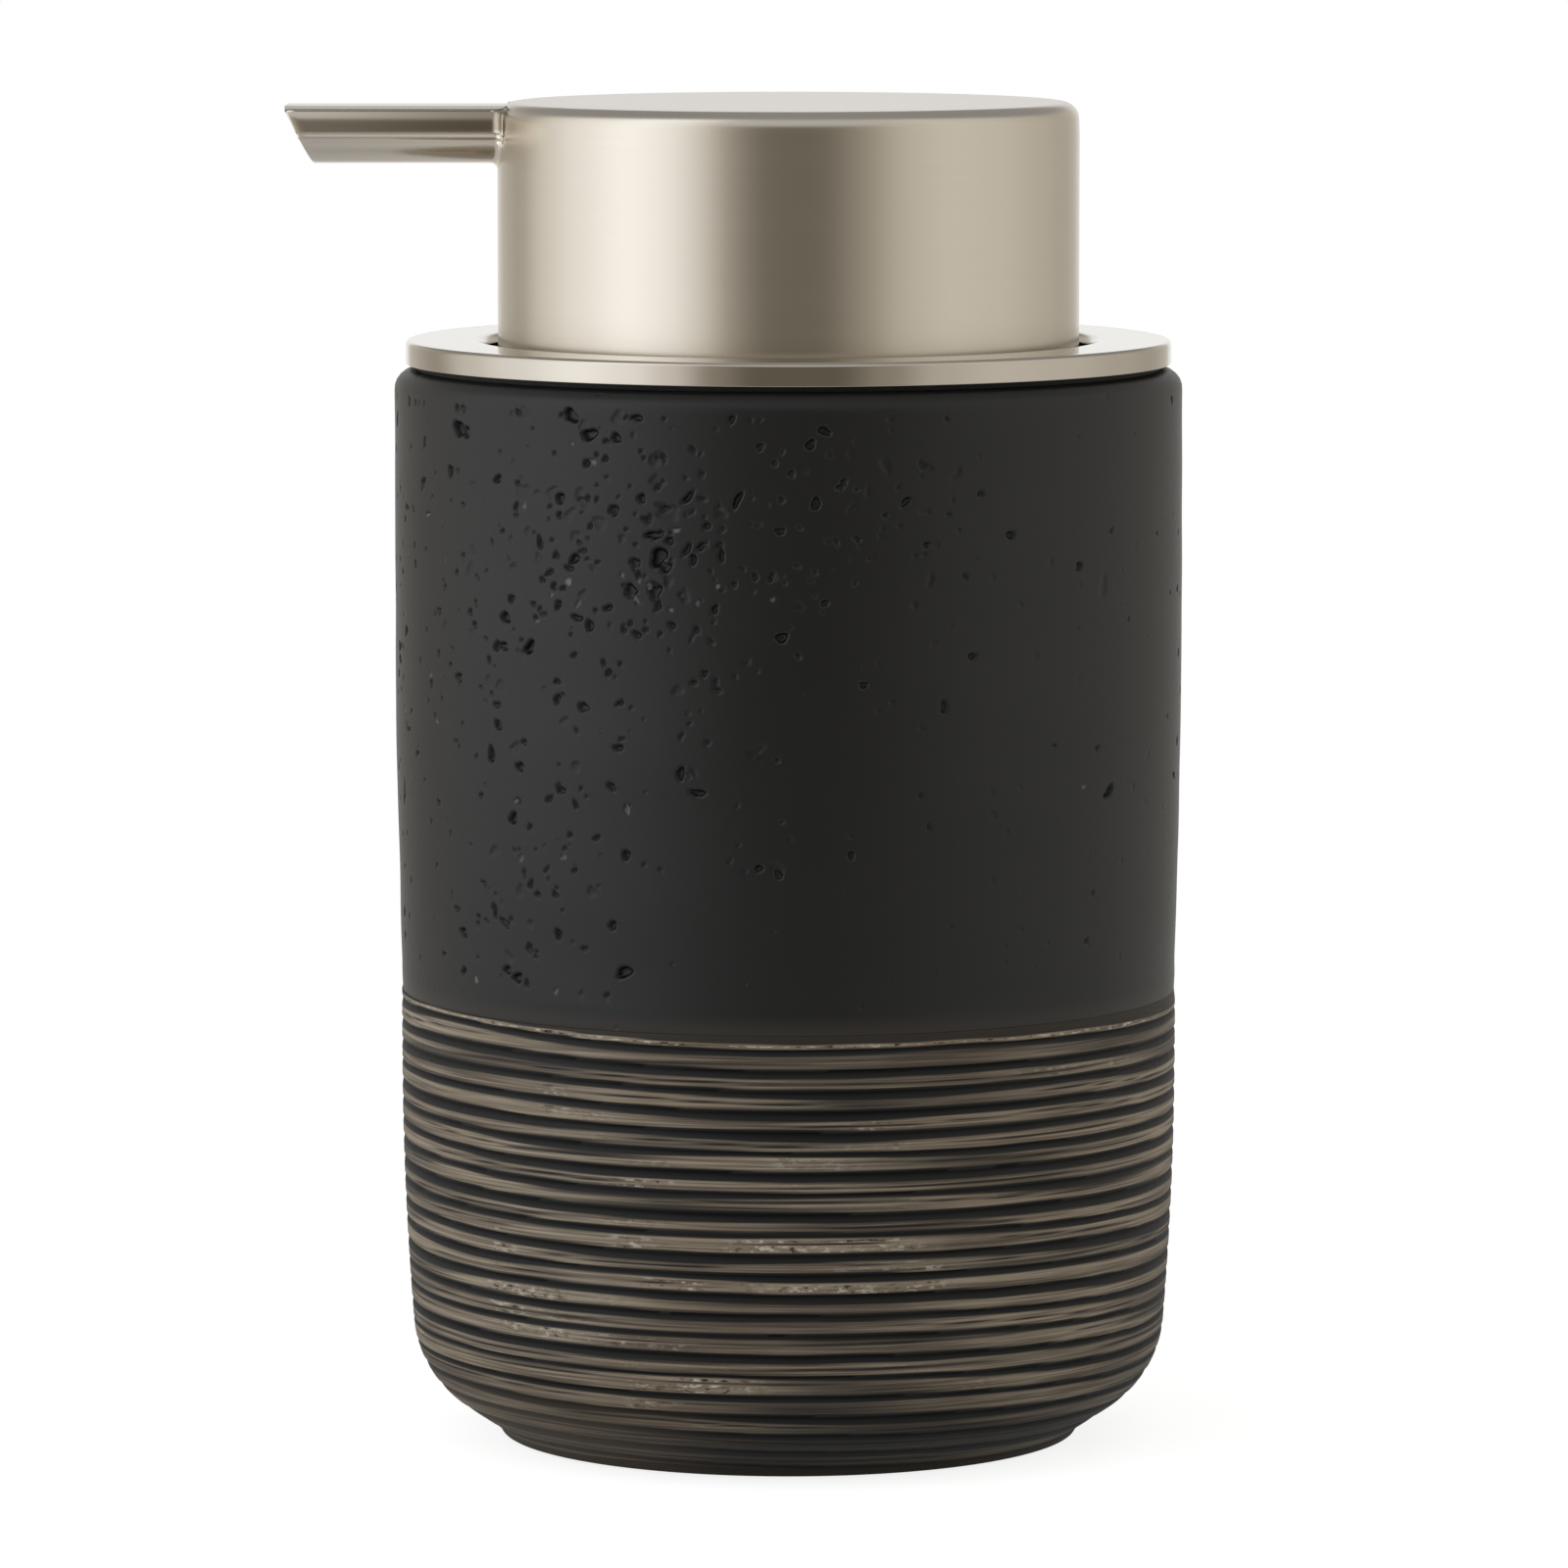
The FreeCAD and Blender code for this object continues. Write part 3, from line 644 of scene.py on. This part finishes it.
def spout():
    """Hollow spout: its outer section carried from the cap's side to the slanted mouth and its inner
    section carried back. The sides draw in towards the mouth by the square of the distance. Near the cap
    the outside grows by a quarter round, as a weld does, except on top, and it starts where the section
    meets the cap's rounded side. The flank and belly_end_highlight values, painted shade on the sides and
    a painted highlight under the belly, step in at their heights and climb from the mouth to the cap."""
    outer = spout_outside()
    inner = spout_inside(len(outer))
    y, z = outer[:, 0], outer[:, 1]
    ahead = np.roll(outer, -1, 0) - np.roll(outer, 1, 0)
    normal = np.stack([ahead[:, 1], -ahead[:, 0]], 1) / np.linalg.norm(ahead, axis=1)[:, None]
    normal *= np.sign((normal * (outer - outer.mean(0))).sum())
    under = smooth((0.75 - normal[:, 1]) / 0.5)
    over_edge = np.clip((z - cap_top + cap_edge) / cap_edge, 0, 1)
    cap_here = cap_radius - cap_edge * (1 - np.sqrt(1 - over_edge ** 2))
    wall_x = -np.sqrt(cap_here ** 2 - y ** 2)
    weld = weld_radius * np.where(z > cap_top - spout_crease, 1.0, 0.65)
    mouth_x = spout_low[0] + spout_cut * (cap_top - z) / (cap_top - spout_low[2])
    rows = []
    for turned in np.radians([-20, 0, 12, 24, 36, 48, 60, 70, 80, 90]):
        out = weld * (1 - math.sin(max(turned, 0))) * under
        x = wall_x - weld * ((1 - math.cos(turned)) if turned > 0 else turned * under)
        rows.append(np.stack([x, y + normal[:, 0] * out, z + normal[:, 1] * out], 1))
    root_x = rows[-1][:, 0]
    for share in np.linspace(0, 1, 24)[1:]:
        x = root_x + (mouth_x + mouth_edge - root_x) * share
        rows.append(np.stack([x, y * (1 - spout_bow / spout_side_half * share * share), z], 1))
    y = y * (1 - spout_bow / spout_side_half)
    for share in (0.5, 1.0):
        edge = mouth_edge * (1 - math.cos(share * math.pi / 2))
        x = mouth_x + mouth_edge * (1 - math.sin(share * math.pi / 2))
        rows.append(np.stack([x, y - normal[:, 0] * edge, z - normal[:, 1] * edge], 1))
    y, z = inner[:, 0], inner[:, 1]
    mouth_x = spout_low[0] + spout_cut * (cap_top - z) / (cap_top - spout_low[2])
    for share in np.linspace(0, 1, 8):
        x = mouth_x + (wall_x.max() - 0.3 - mouth_x) * share
        rows.append(np.stack([x, y, z], 1))
    points = np.stack(rows)[:, ::-1]
    height = points[..., 2]
    near_cap = smooth((points[..., 0] - spout_low[0]) / -(spout_low[0] + cap_radius))
    flank_shade = near_cap * smooth((height - cap_top + spout_crease) / 0.1)
    flank_shade *= smooth((cap_top - spout_shoulder - height) / 0.2)
    belly_end_highlight = near_cap * smooth((cap_top - spout_crease - 0.3 - height) / 0.4)
    return grid_piece("spout", points, True, {"flank_shade": flank_shade, "belly_end_highlight": belly_end_highlight})


def spring():
    """Compression spring: a round wire carried along a helix whose first and last turns lie
    closed. The wire narrows to a point at each end, which closes the mesh."""
    wire = 0.45
    mean = spring_high[0] - wire
    turns = 9
    low = spring_low[2] + wire
    high = spring_high[2] - wire
    along = np.linspace(0, 1, 600)[:, None]
    turn = along * turns * FULL_TURN
    climb = along + np.sin(along * FULL_TURN) * -0.08
    height = low + (high - low) * climb
    round_wire = np.arange(14) * FULL_TURN / 14
    thick = wire * np.sqrt(np.clip(np.minimum(along, 1 - along) * 600 / 2, 0, 1))
    radius = mean + thick * np.cos(round_wire)
    points = around_axis(radius, height + thick * np.sin(round_wire), turn)
    return grid_piece("spring", points[:, ::-1], False)


# ---------------------------------------------------------------- shader building blocks
def put(tree, socket, value):
    """Links an output to an input, or sets the input's own value."""
    if isinstance(value, bpy.types.NodeSocket):
        tree.links.new(value, socket)
    else:
        socket.default_value = value


def add(tree, kind, values=None, **settings):
    """New node with its settings. A value that is a socket is linked to the named input."""
    made = tree.nodes.new(kind)
    for title, setting in settings.items():
        setattr(made, title, setting)
    for title, value in (values or {}).items():
        put(tree, made.inputs[title], value)
    return made


def calc(tree, operation, first, second=0.0, clamp=False):
    """Output of a Math node."""
    made = add(tree, "ShaderNodeMath", {0: first, 1: second}, operation=operation, use_clamp=clamp)
    return made.outputs[0]


def times(tree, first, second):
    """Product of two values."""
    return calc(tree, "MULTIPLY", first, second)


def plus(tree, first, second):
    """Sum of two values."""
    return calc(tree, "ADD", first, second)


def between(tree, value, low, high, to_low=0.0, to_high=1.0):
    """Output that climbs smoothly from one number to another as a value goes from low to high."""
    values = {"Value": value, "From Min": low, "From Max": high, "To Min": to_low, "To Max": to_high}
    return add(tree, "ShaderNodeMapRange", values, interpolation_type="SMOOTHSTEP").outputs[0]


def tint(tree, share, first, second, blend_type="MIX"):
    """Output of a colour Mix node."""
    values = {0: share, 6: first, 7: second}
    return add(tree, "ShaderNodeMix", values, data_type="RGBA", blend_type=blend_type).outputs[2]


def scaled(tree, place, *scale):
    """Place stretched by a number along each axis."""
    return add(tree, "ShaderNodeMapping", {"Vector": place, "Scale": scale}).outputs[0]


def noise(tree, place, scale, detail=2.0, roughness=0.5):
    """Output of a Noise Texture."""
    values = {"Vector": place, "Scale": scale, "Detail": detail, "Roughness": roughness}
    return add(tree, "ShaderNodeTexNoise", values).outputs["Fac"]


def new_group(title, inputs, outputs):
    """Empty shader group with float or vector inputs and float outputs, and its end nodes."""
    tree = bpy.data.node_groups.new(title, "ShaderNodeTree")
    for name, start in inputs.items():
        kind = "NodeSocketVector" if start is None else "NodeSocketFloat"
        socket = tree.interface.new_socket(name=name, in_out="INPUT", socket_type=kind)
        if start is not None:
            socket.default_value = start
    for name in outputs:
        tree.interface.new_socket(name=name, in_out="OUTPUT", socket_type="NodeSocketFloat")
    return tree, tree.nodes.new("NodeGroupInput"), tree.nodes.new("NodeGroupOutput")


def pores_group():
    """Tiny round pores: in each cell of a Voronoi pattern the distance from its point, kept where
    the cell's own random number is low. Height is 1 on the surface and 0 in a pore."""
    tree, start, end = new_group("Pores", {"Place": None, "Scale": 900.0, "Share": 0.3, "Size": 0.3},
                                 ["Mask", "Height"])
    values = {"Vector": start.outputs["Place"], "Scale": start.outputs["Scale"]}
    cells = add(tree, "ShaderNodeTexVoronoi", values)
    parts = add(tree, "ShaderNodeSeparateColor", {0: cells.outputs["Color"]})
    kept = calc(tree, "LESS_THAN", parts.outputs[0], start.outputs["Share"])
    size = times(tree, start.outputs["Size"], plus(tree, parts.outputs[1], 0.4))
    inside = calc(tree, "DIVIDE", cells.outputs["Distance"], size)
    mask = times(tree, between(tree, inside, 1.0, 0.6), kept)
    tree.links.new(mask, end.inputs["Mask"])
    tree.links.new(calc(tree, "SUBTRACT", 1.0, mask), end.inputs["Height"])
    return tree


def mottle_group():
    """Soft uneven tone, 0 to 1 about a middle of one half, at a size given in metres."""
    tree, start, end = new_group("Mottle", {"Place": None, "Size": 0.01, "Contrast": 1.0}, ["Tone"])
    scale = calc(tree, "DIVIDE", 1.0, start.outputs["Size"])
    tone = noise(tree, start.outputs["Place"], scale, 4.0, 0.55)
    tone = times(tree, calc(tree, "SUBTRACT", tone, 0.5), start.outputs["Contrast"])
    tree.links.new(calc(tree, "ADD", tone, 0.5, clamp=True), end.inputs["Tone"])
    return tree


def brushing_group():
    """Fine parallel brush lines from a place that is stretched along them: a sharp set and a
    broader, softer set, and smears that change the gloss."""
    tree, start, end = new_group("Brushing", {"Place": None}, ["Lines", "Smears"])
    fine = noise(tree, start.outputs["Place"], 1.0, 3.0, 0.6)
    broad = noise(tree, start.outputs["Place"], 0.18, 2.0, 0.5)
    lines = plus(tree, times(tree, fine, 0.65), times(tree, broad, 0.35))
    tree.links.new(lines, end.inputs["Lines"])
    tree.links.new(broad, end.inputs["Smears"])
    return tree


GROUPS = {"Pores": pores_group(), "Mottle": mottle_group(), "Brushing": brushing_group()}


def place_group(tree, title, values):
    """Node of one of the shared groups."""
    return add(tree, "ShaderNodeGroup", values, node_tree=GROUPS[title])


def new_material(title):
    """Material with its tree, Principled shader and Object coordinates."""
    material = bpy.data.materials.new(title)
    material.use_nodes = True
    tree = material.node_tree
    shader = tree.nodes["Principled BSDF"]
    place = add(tree, "ShaderNodeTexCoord").outputs["Object"]
    return material, tree, shader, place


def attribute(tree, title):
    """A point value of the mesh."""
    return add(tree, "ShaderNodeAttribute", attribute_name=title).outputs["Fac"]


def bump(tree, shader, height, distance, strength=1.0):
    """Links a height to the shader's normal."""
    made = add(tree, "ShaderNodeBump", {"Height": height, "Distance": distance, "Strength": strength})
    tree.links.new(made.outputs[0], shader.inputs["Normal"])


def feed(tree, shader, **sockets):
    """Sets or links the shader's inputs, named with underscores for spaces."""
    for title, value in sockets.items():
        put(tree, shader.inputs[title.replace("_", " ")], value)


def grey(value):
    """Neutral colour."""
    return (value, value, value, 1)


# ---------------------------------------------------------------- finishes
LIP_BROWN = (0.041, 0.034, 0.027, 1)
# A lighter brown for the left of the foot, painted light on the lit side.
LIT_FOOT_BROWN = (0.09, 0.072, 0.053, 1)


def charcoal_stoneware():
    """Matt dark body: mottled tone, pits and tiny pores darkened as painted shade, a few pale grains,
    pale flecks, glazed inside.
    """
    material, tree, shader, place = new_material("charcoal_stoneware")
    tone = place_group(tree, "Mottle", {"Place": place, "Size": 0.012, "Contrast": 1.2}).outputs[0]
    colour = tint(tree, tone, (0.0100, 0.0102, 0.0105, 1), (0.0142, 0.0141, 0.0137, 1))
    grains = place_group(tree, "Pores", {"Place": place, "Scale": 210.0, "Share": 0.05, "Size": 0.045})
    colour = tint(tree, grains.outputs["Mask"], colour, (0.20, 0.185, 0.165, 1))
    pores = place_group(tree, "Pores", {"Place": place, "Scale": 700.0, "Share": 0.10, "Size": 0.26})
    # Painted shade: the pits and the tiny pores are darkened nearly to black.
    pore = times(tree, pores.outputs["Mask"], 0.7)
    pit = calc(tree, "MAXIMUM", attribute(tree, "pit"), pore)
    colour = tint(tree, times(tree, pit, 0.72), colour, (0.0045, 0.0042, 0.0040, 1))
    # Pale flecks: pale chips, and on the left edge painted highlight on the pits' rims.
    fleck_and_glint = times(tree, attribute(tree, "fleck_and_glint"), 0.75)
    colour = tint(tree, fleck_and_glint, colour, (0.24, 0.235, 0.22, 1))
    colour = tint(tree, attribute(tree, "lip"), colour, LIP_BROWN)
    glaze = attribute(tree, "glaze")
    grit = noise(tree, place, 2600.0, 3.0, 0.6)
    rough = plus(tree, 0.35, times(tree, grit, 0.12))
    smoother = calc(tree, "SUBTRACT", 1.0, times(tree, glaze, 0.55))
    rough = times(tree, rough, smoother)
    height = plus(tree, times(tree, grit, 0.12), pores.outputs["Height"])
    feed(tree, shader, Base_Color=colour, Roughness=rough, Specular_IOR_Level=0.43)
    bump(tree, shader, height, 0.00012, 0.5)
    return material


def rubbed_stoneware():
    """Ribbed band: near-black grooves, darkened under each ridge as painted shadow, slopes of dark glaze,
    and a bronze wash rubbed along the crests in long thin streaks, with pale chips and dark specks where
    the crest is barest. The glaze is brown at the lip and at the foot's edge, and round the left of the
    foot a lighter brown is painted light on the lit side."""
    material, tree, shader, place = new_material("bronze_rubbed_stoneware")
    streaks = noise(tree, scaled(tree, place, 26.0, 26.0, 1900.0), 1.0, 3.0, 0.6)
    fine = noise(tree, scaled(tree, place, 70.0, 70.0, 5200.0), 1.0, 2.0, 0.5)
    grain = noise(tree, scaled(tree, place, 900.0, 900.0, 2400.0), 1.0, 2.0, 0.55)
    patches = noise(tree, place, 75.0, 2.0, 0.5)
    bare = attribute(tree, "bare")
    shade = attribute(tree, "shade")
    ribbed = attribute(tree, "ribbed")
    uneven = times(tree, calc(tree, "SUBTRACT", streaks, 0.5), 1.15)
    rubbed = plus(tree, bare, times(tree, uneven, between(tree, bare, 0.05, 0.6)))
    rub = between(tree, rubbed, 0.12, 0.85)
    # Painted shadow: the shade value darkens the groove under each ridge nearly to black.
    glazed = tint(tree, shade, (0.0155, 0.0155, 0.0155, 1), (0.0025, 0.0027, 0.0032, 1))
    glazed = tint(tree, ribbed, (0.052, 0.040, 0.029, 1), glazed)
    glazed = tint(tree, attribute(tree, "lip"), glazed, LIP_BROWN)
    glazed = tint(tree, attribute(tree, "foot"), glazed, LIT_FOOT_BROWN)
    tone = place_group(tree, "Mottle", {"Place": place, "Size": 0.02, "Contrast": 1.6}).outputs[0]
    bronze = tint(tree, tone, (0.33, 0.252, 0.174, 1), (0.60, 0.512, 0.392, 1))
    worn_dark = tint(tree, 0.60, bronze, (0.04, 0.026, 0.016, 1))
    bronze = tint(tree, between(tree, fine, 0.33, 0.66), worn_dark, bronze)
    colour = tint(tree, rub, glazed, bronze)
    barest = between(tree, bare, 0.55, 0.85)
    patches = plus(tree, patches, times(tree, attribute(tree, "worn"), 0.13))
    chipped = calc(tree, "MAXIMUM", between(tree, patches, 0.54, 0.66), between(tree, bare, 1.0, 1.3))
    pale = times(tree, between(tree, grain, 0.55, 0.62), chipped)
    colour = tint(tree, times(tree, pale, barest), colour, (0.72, 0.66, 0.56, 1))
    specks = times(tree, between(tree, grain, 0.42, 0.34), chipped)
    colour = tint(tree, times(tree, specks, barest), colour, (0.020, 0.015, 0.011, 1))
    colour = tint(tree, attribute(tree, "glaze"), colour, (0.020, 0.020, 0.021, 1))
    # The painted shadow also lowers the shine in the grooves.
    shine = calc(tree, "SUBTRACT", 0.28, times(tree, shade, 0.17))
    feed(tree, shader, Base_Color=colour, Specular_IOR_Level=shine,
         Roughness=plus(tree, 0.46, times(tree, grain, 0.14)))
    height = plus(tree, times(tree, fine, 0.7), times(tree, grain, 0.3))
    bump(tree, shader, height, 0.00008, 0.5)
    return material


def brushed_metal(title, straight, rough, shade):
    """Warm nickel-coloured steel with fine brush lines: round the axis, or along X if straight. The shade
    scales its colour, as painted light: the collar's copy is darker and the spout's lighter. The straight
    one has painted shade along its flanks towards the cap and a painted highlight at the end of its
    belly."""
    material, tree, shader, place = new_material(title)
    if straight:
        stretched = scaled(tree, place, 120.0, 7000.0, 7000.0)
    else:
        parts = add(tree, "ShaderNodeSeparateXYZ", {0: place})
        x, y, z = parts.outputs
        squares = plus(tree, times(tree, x, x), times(tree, y, y))
        radius = calc(tree, "SQRT", squares)
        across = times(tree, plus(tree, radius, z), 7000.0)
        safe = calc(tree, "MAXIMUM", radius, 1e-5)
        round_x = times(tree, calc(tree, "DIVIDE", x, safe), 3.0)
        round_y = times(tree, calc(tree, "DIVIDE", y, safe), 3.0)
        stretched = add(tree, "ShaderNodeCombineXYZ", {0: round_x, 1: round_y, 2: across}).outputs[0]
    brush = place_group(tree, "Brushing", {"Place": stretched})
    tone = place_group(tree, "Mottle", {"Place": place, "Size": 0.03, "Contrast": 0.8}).outputs[0]
    dull, bright, warm = [
        tuple(shade * c for c in colour) + (1,)
        for colour in ((0.69, 0.632, 0.545), (0.73, 0.673, 0.585), (0.62, 0.56, 0.47))
    ]
    colour = tint(tree, brush.outputs["Lines"], dull, bright)
    colour = tint(tree, times(tree, tone, 0.10), colour, warm)
    if straight:
        # Painted shade darkens the flanks near the cap, and a painted highlight lightens the end of the
        # belly.
        shaded_colour = tint(tree, 1.0, colour, (0.56, 0.53, 0.48, 1), "MULTIPLY")
        colour = tint(tree, attribute(tree, "flank_shade"), colour, shaded_colour)
        highlit_colour = tint(tree, 1.0, colour, (1.18, 1.17, 1.15, 1), "MULTIPLY")
        colour = tint(tree, attribute(tree, "belly_end_highlight"), colour, highlit_colour)
    uneven = times(tree, brush.outputs["Smears"], 0.03)
    rough = plus(tree, rough - 0.015, uneven)
    feed(tree, shader, Base_Color=colour, Metallic=1.0, Roughness=rough)
    bump(tree, shader, brush.outputs["Lines"], 0.00002, 0.025)
    return material


def moulded_plastic(title, colour, rough, see_through=0.0):
    """Moulded plastic: slightly uneven tone and a fine orange-peel skin."""
    material, tree, shader, place = new_material(title)
    tone = place_group(tree, "Mottle", {"Place": place, "Size": 0.006, "Contrast": 1.0}).outputs[0]
    darker = tuple(0.82 * c for c in colour[:3]) + (1,)
    skin = noise(tree, place, 1800.0, 2.0, 0.5)
    feed(tree, shader, Base_Color=tint(tree, tone, darker, colour), Transmission_Weight=see_through,
         Roughness=plus(tree, rough, times(tree, skin, 0.08)))
    bump(tree, shader, skin, 0.00003, 0.4)
    return material


def seal_rubber(title, shade):
    """Dull rubber with a grain and a little bloom."""
    material, tree, shader, place = new_material(title)
    grain = noise(tree, place, 3200.0, 4.0, 0.7)
    bloom = place_group(tree, "Mottle", {"Place": place, "Size": 0.005, "Contrast": 1.6}).outputs[0]
    feed(tree, shader, Base_Color=tint(tree, bloom, grey(0.7 * shade), grey(1.25 * shade)),
         Roughness=plus(tree, 0.62, times(tree, grain, 0.2)))
    bump(tree, shader, grain, 0.00006, 0.6)
    return material


def drawn_steel(title, rough):
    """Bare steel of wire and balls, with faint drawing marks."""
    material, tree, shader, place = new_material(title)
    marks = noise(tree, place, 2500.0, 3.0, 0.6)
    colour = tint(tree, marks, (0.50, 0.50, 0.49, 1), (0.66, 0.655, 0.64, 1))
    feed(tree, shader, Base_Color=colour, Metallic=1.0,
         Roughness=plus(tree, rough, times(tree, marks, 0.1)))
    bump(tree, shader, marks, 0.00001, 0.3)
    return material


# ---------------------------------------------------------------- the pieces, dressed
# The last number scales the nickel colour as painted light: darker for the collar, lighter for the spout.
turned_nickel = brushed_metal("brushed_nickel_turned", False, 0.25, 1.02)
polished_nickel = brushed_metal("brushed_nickel_collar", False, 0.13, 0.86)
straight_nickel = brushed_metal("brushed_nickel_spout", True, 0.23, 1.10)
rubber = seal_rubber("black_rubber", 0.012)
black_plastic = moulded_plastic("black_plastic", (0.018, 0.018, 0.019, 1), 0.34)
white_plastic = moulded_plastic("white_plastic", (0.74, 0.74, 0.72, 1), 0.30)
clear_plastic = moulded_plastic("milky_clear_plastic", (0.90, 0.915, 0.905, 1), 0.22, 0.60)
piston_plastic = moulded_plastic("natural_piston_plastic", (0.62, 0.61, 0.56, 1), 0.38)
ball_steel = drawn_steel("ball_steel", 0.08)
spring_steel = drawn_steel("spring_steel", 0.22)

NEW_PIECES = [           # piece, body, replaced node, record slot, finish
    (vessel_wall(), "vessel", "vessel", "stoneware", charcoal_stoneware()),
    (vessel_band(), "vessel", "vessel", "stoneware", rubbed_stoneware()),
    (base_pad(), "vessel", "base_pad", "foot_pad", seal_rubber("foot_pad_rubber", 0.02)),
    (cap(), "head", "cap_shell", "brushed_metal", turned_nickel),
    (collar(), "pump_unit", "collar_ring", "brushed_metal", polished_nickel),
    (spout(), "head", "spout_tube", "brushed_metal", straight_nickel),
    (spring(), "pump_unit", "return_spring", "spring_steel", spring_steel),
]
for piece, body, node, record_slot, finish in NEW_PIECES:
    piece.data.materials.append(finish)
    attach(piece, body)
    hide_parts(node)
    if node == "return_spring":
        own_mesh(piece)

CAD_FINISHES = {
    black_plastic: ["pump_carrier", "engine_nut", "stem_guide"],
    white_plastic: ["actuator_hub", "piston_stem", "inlet_ball_cage", "outlet_stop"],
    clear_plastic: ["pump_cylinder", "dip_tube", "spout_liner"],
    piston_plastic: ["piston_seal"],
    rubber: ["rim_gasket", "plug_seal", "engine_gasket", "stem_wiper", "hub_oring"],
    ball_steel: ["inlet_ball", "outlet_ball"],
}
for finish, nodes in CAD_FINISHES.items():
    for node in nodes:
        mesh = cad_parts[node].data
        mesh.materials.clear()
        mesh.materials.append(finish)


# ---------------------------------------------------------------- floor, light and camera
def white_for_camera(tree):
    """1 for rays from the camera or through something clear, and 1 for rays from a mirror."""
    path = add(tree, "ShaderNodeLightPath")
    seen = calc(tree, "MAXIMUM", path.outputs["Is Camera Ray"], path.outputs["Is Transmission Ray"])
    return seen, path.outputs["Is Glossy Ray"]


def floor():
    """Pale round table top that keeps the shadow."""
    wide = 320
    top = -0.01
    line = rounded([(0, -2), (wide, -2), (wide, top), (0, top)], 20, closed=False)
    piece = turned_piece("table_top", line, 96, False)
    material, tree, shader, _ = new_material("pale_table")
    seen, mirrored = white_for_camera(tree)
    feed(tree, shader, Base_Color=grey(0.5), Roughness=0.9, Specular_IOR_Level=0.0)
    seen = times(tree, seen, 0.84)
    shown = calc(tree, "MAXIMUM", seen, times(tree, mirrored, 0.2))
    feed(tree, shader, Emission_Color=grey(1.0), Emission_Strength=shown)
    piece.data.materials.append(material)


STUDIO = [               # degrees round from the camera side towards +X, brightness
    (-180, 0.70), (-160, 0.58), (-132, 0.40), (-112, 0.80), (-92, 1.08), (-66, 1.38), (-48, 1.20),
    (-36, 0.86), (-22, 0.31), (-10, 0.15), (14, 0.15), (30, 0.34), (46, 0.62), (66, 0.73),
    (92, 0.68), (118, 0.56), (140, 0.46), (160, 0.58), (180, 0.70),
]


def studio():
    """Soft studio all round: brightness by the direction round the axis, a soft light above the
    front, a dim ceiling that leans to the back, and a white background where the camera looks
    past the object."""
    world = bpy.data.worlds.new("studio")
    bpy.context.scene.world = world
    world.use_nodes = True
    tree = world.node_tree
    background = tree.nodes["Background"]
    parts = add(tree, "ShaderNodeSeparateXYZ", {0: add(tree, "ShaderNodeTexCoord").outputs["Generated"]})
    x, y, z = parts.outputs
    bearing = calc(tree, "ARCTAN2", x, times(tree, y, -1.0))
    share = plus(tree, calc(tree, "DIVIDE", bearing, FULL_TURN), 0.5)
    ramp = add(tree, "ShaderNodeValToRGB", {0: share})
    ramp.color_ramp.interpolation = "EASE"
    stops = ramp.color_ramp.elements
    while len(stops) > 1:
        stops.remove(stops[-1])
    for i, (degrees, brightness) in enumerate(STUDIO):
        position = degrees / 360 + 0.5
        stop = stops[0] if i == 0 else stops.new(position)
        stop.position = position
        warm = 0.10 * max(-0.2, 1 - brightness)
        stop.color = (brightness * (1 + warm) / 2, brightness / 2, brightness * (1 - 2 * warm) / 2, 1)
    ring = add(tree, "ShaderNodeVectorMath", {0: ramp.outputs[0], "Scale": 2.0}, operation="SCALE")
    front = between(tree, z, 0.28, 0.50, 0.0, 0.58)
    raised = add(tree, "ShaderNodeCombineXYZ", {0: front, 1: front, 2: front}).outputs[0]
    light = add(tree, "ShaderNodeVectorMath", {0: ring.outputs[0], 1: raised}, operation="MAXIMUM")
    leaning = plus(tree, times(tree, y, 0.446), times(tree, z, 0.895))
    light = tint(tree, between(tree, leaning, 0.57, 0.73), light.outputs[0], grey(0.32))
    seen, mirrored = white_for_camera(tree)
    behind = times(tree, mirrored, between(tree, y, 0.93, 0.975))
    shown = calc(tree, "MAXIMUM", seen, behind)
    tree.links.new(tint(tree, shown, light, grey(1.0)), background.inputs["Color"])


def camera():
    """Long lens in front of the object, a little above it and tilted down."""
    data = bpy.data.cameras.new("camera")
    data.sensor_width = 36.0
    data.lens = 222.06
    data.clip_start = 0.05
    data.clip_end = 20.0
    made = bpy.data.objects.new("camera", data)
    made.location = (-0.46 * MM, -980 * MM, 172 * MM)
    made.rotation_euler = (math.radians(90 - 6.14), 0, 0)
    bpy.context.scene.collection.objects.link(made)
    bpy.context.scene.camera = made


floor()
studio()
camera()
bpy.context.scene.view_settings.view_transform = "Standard"
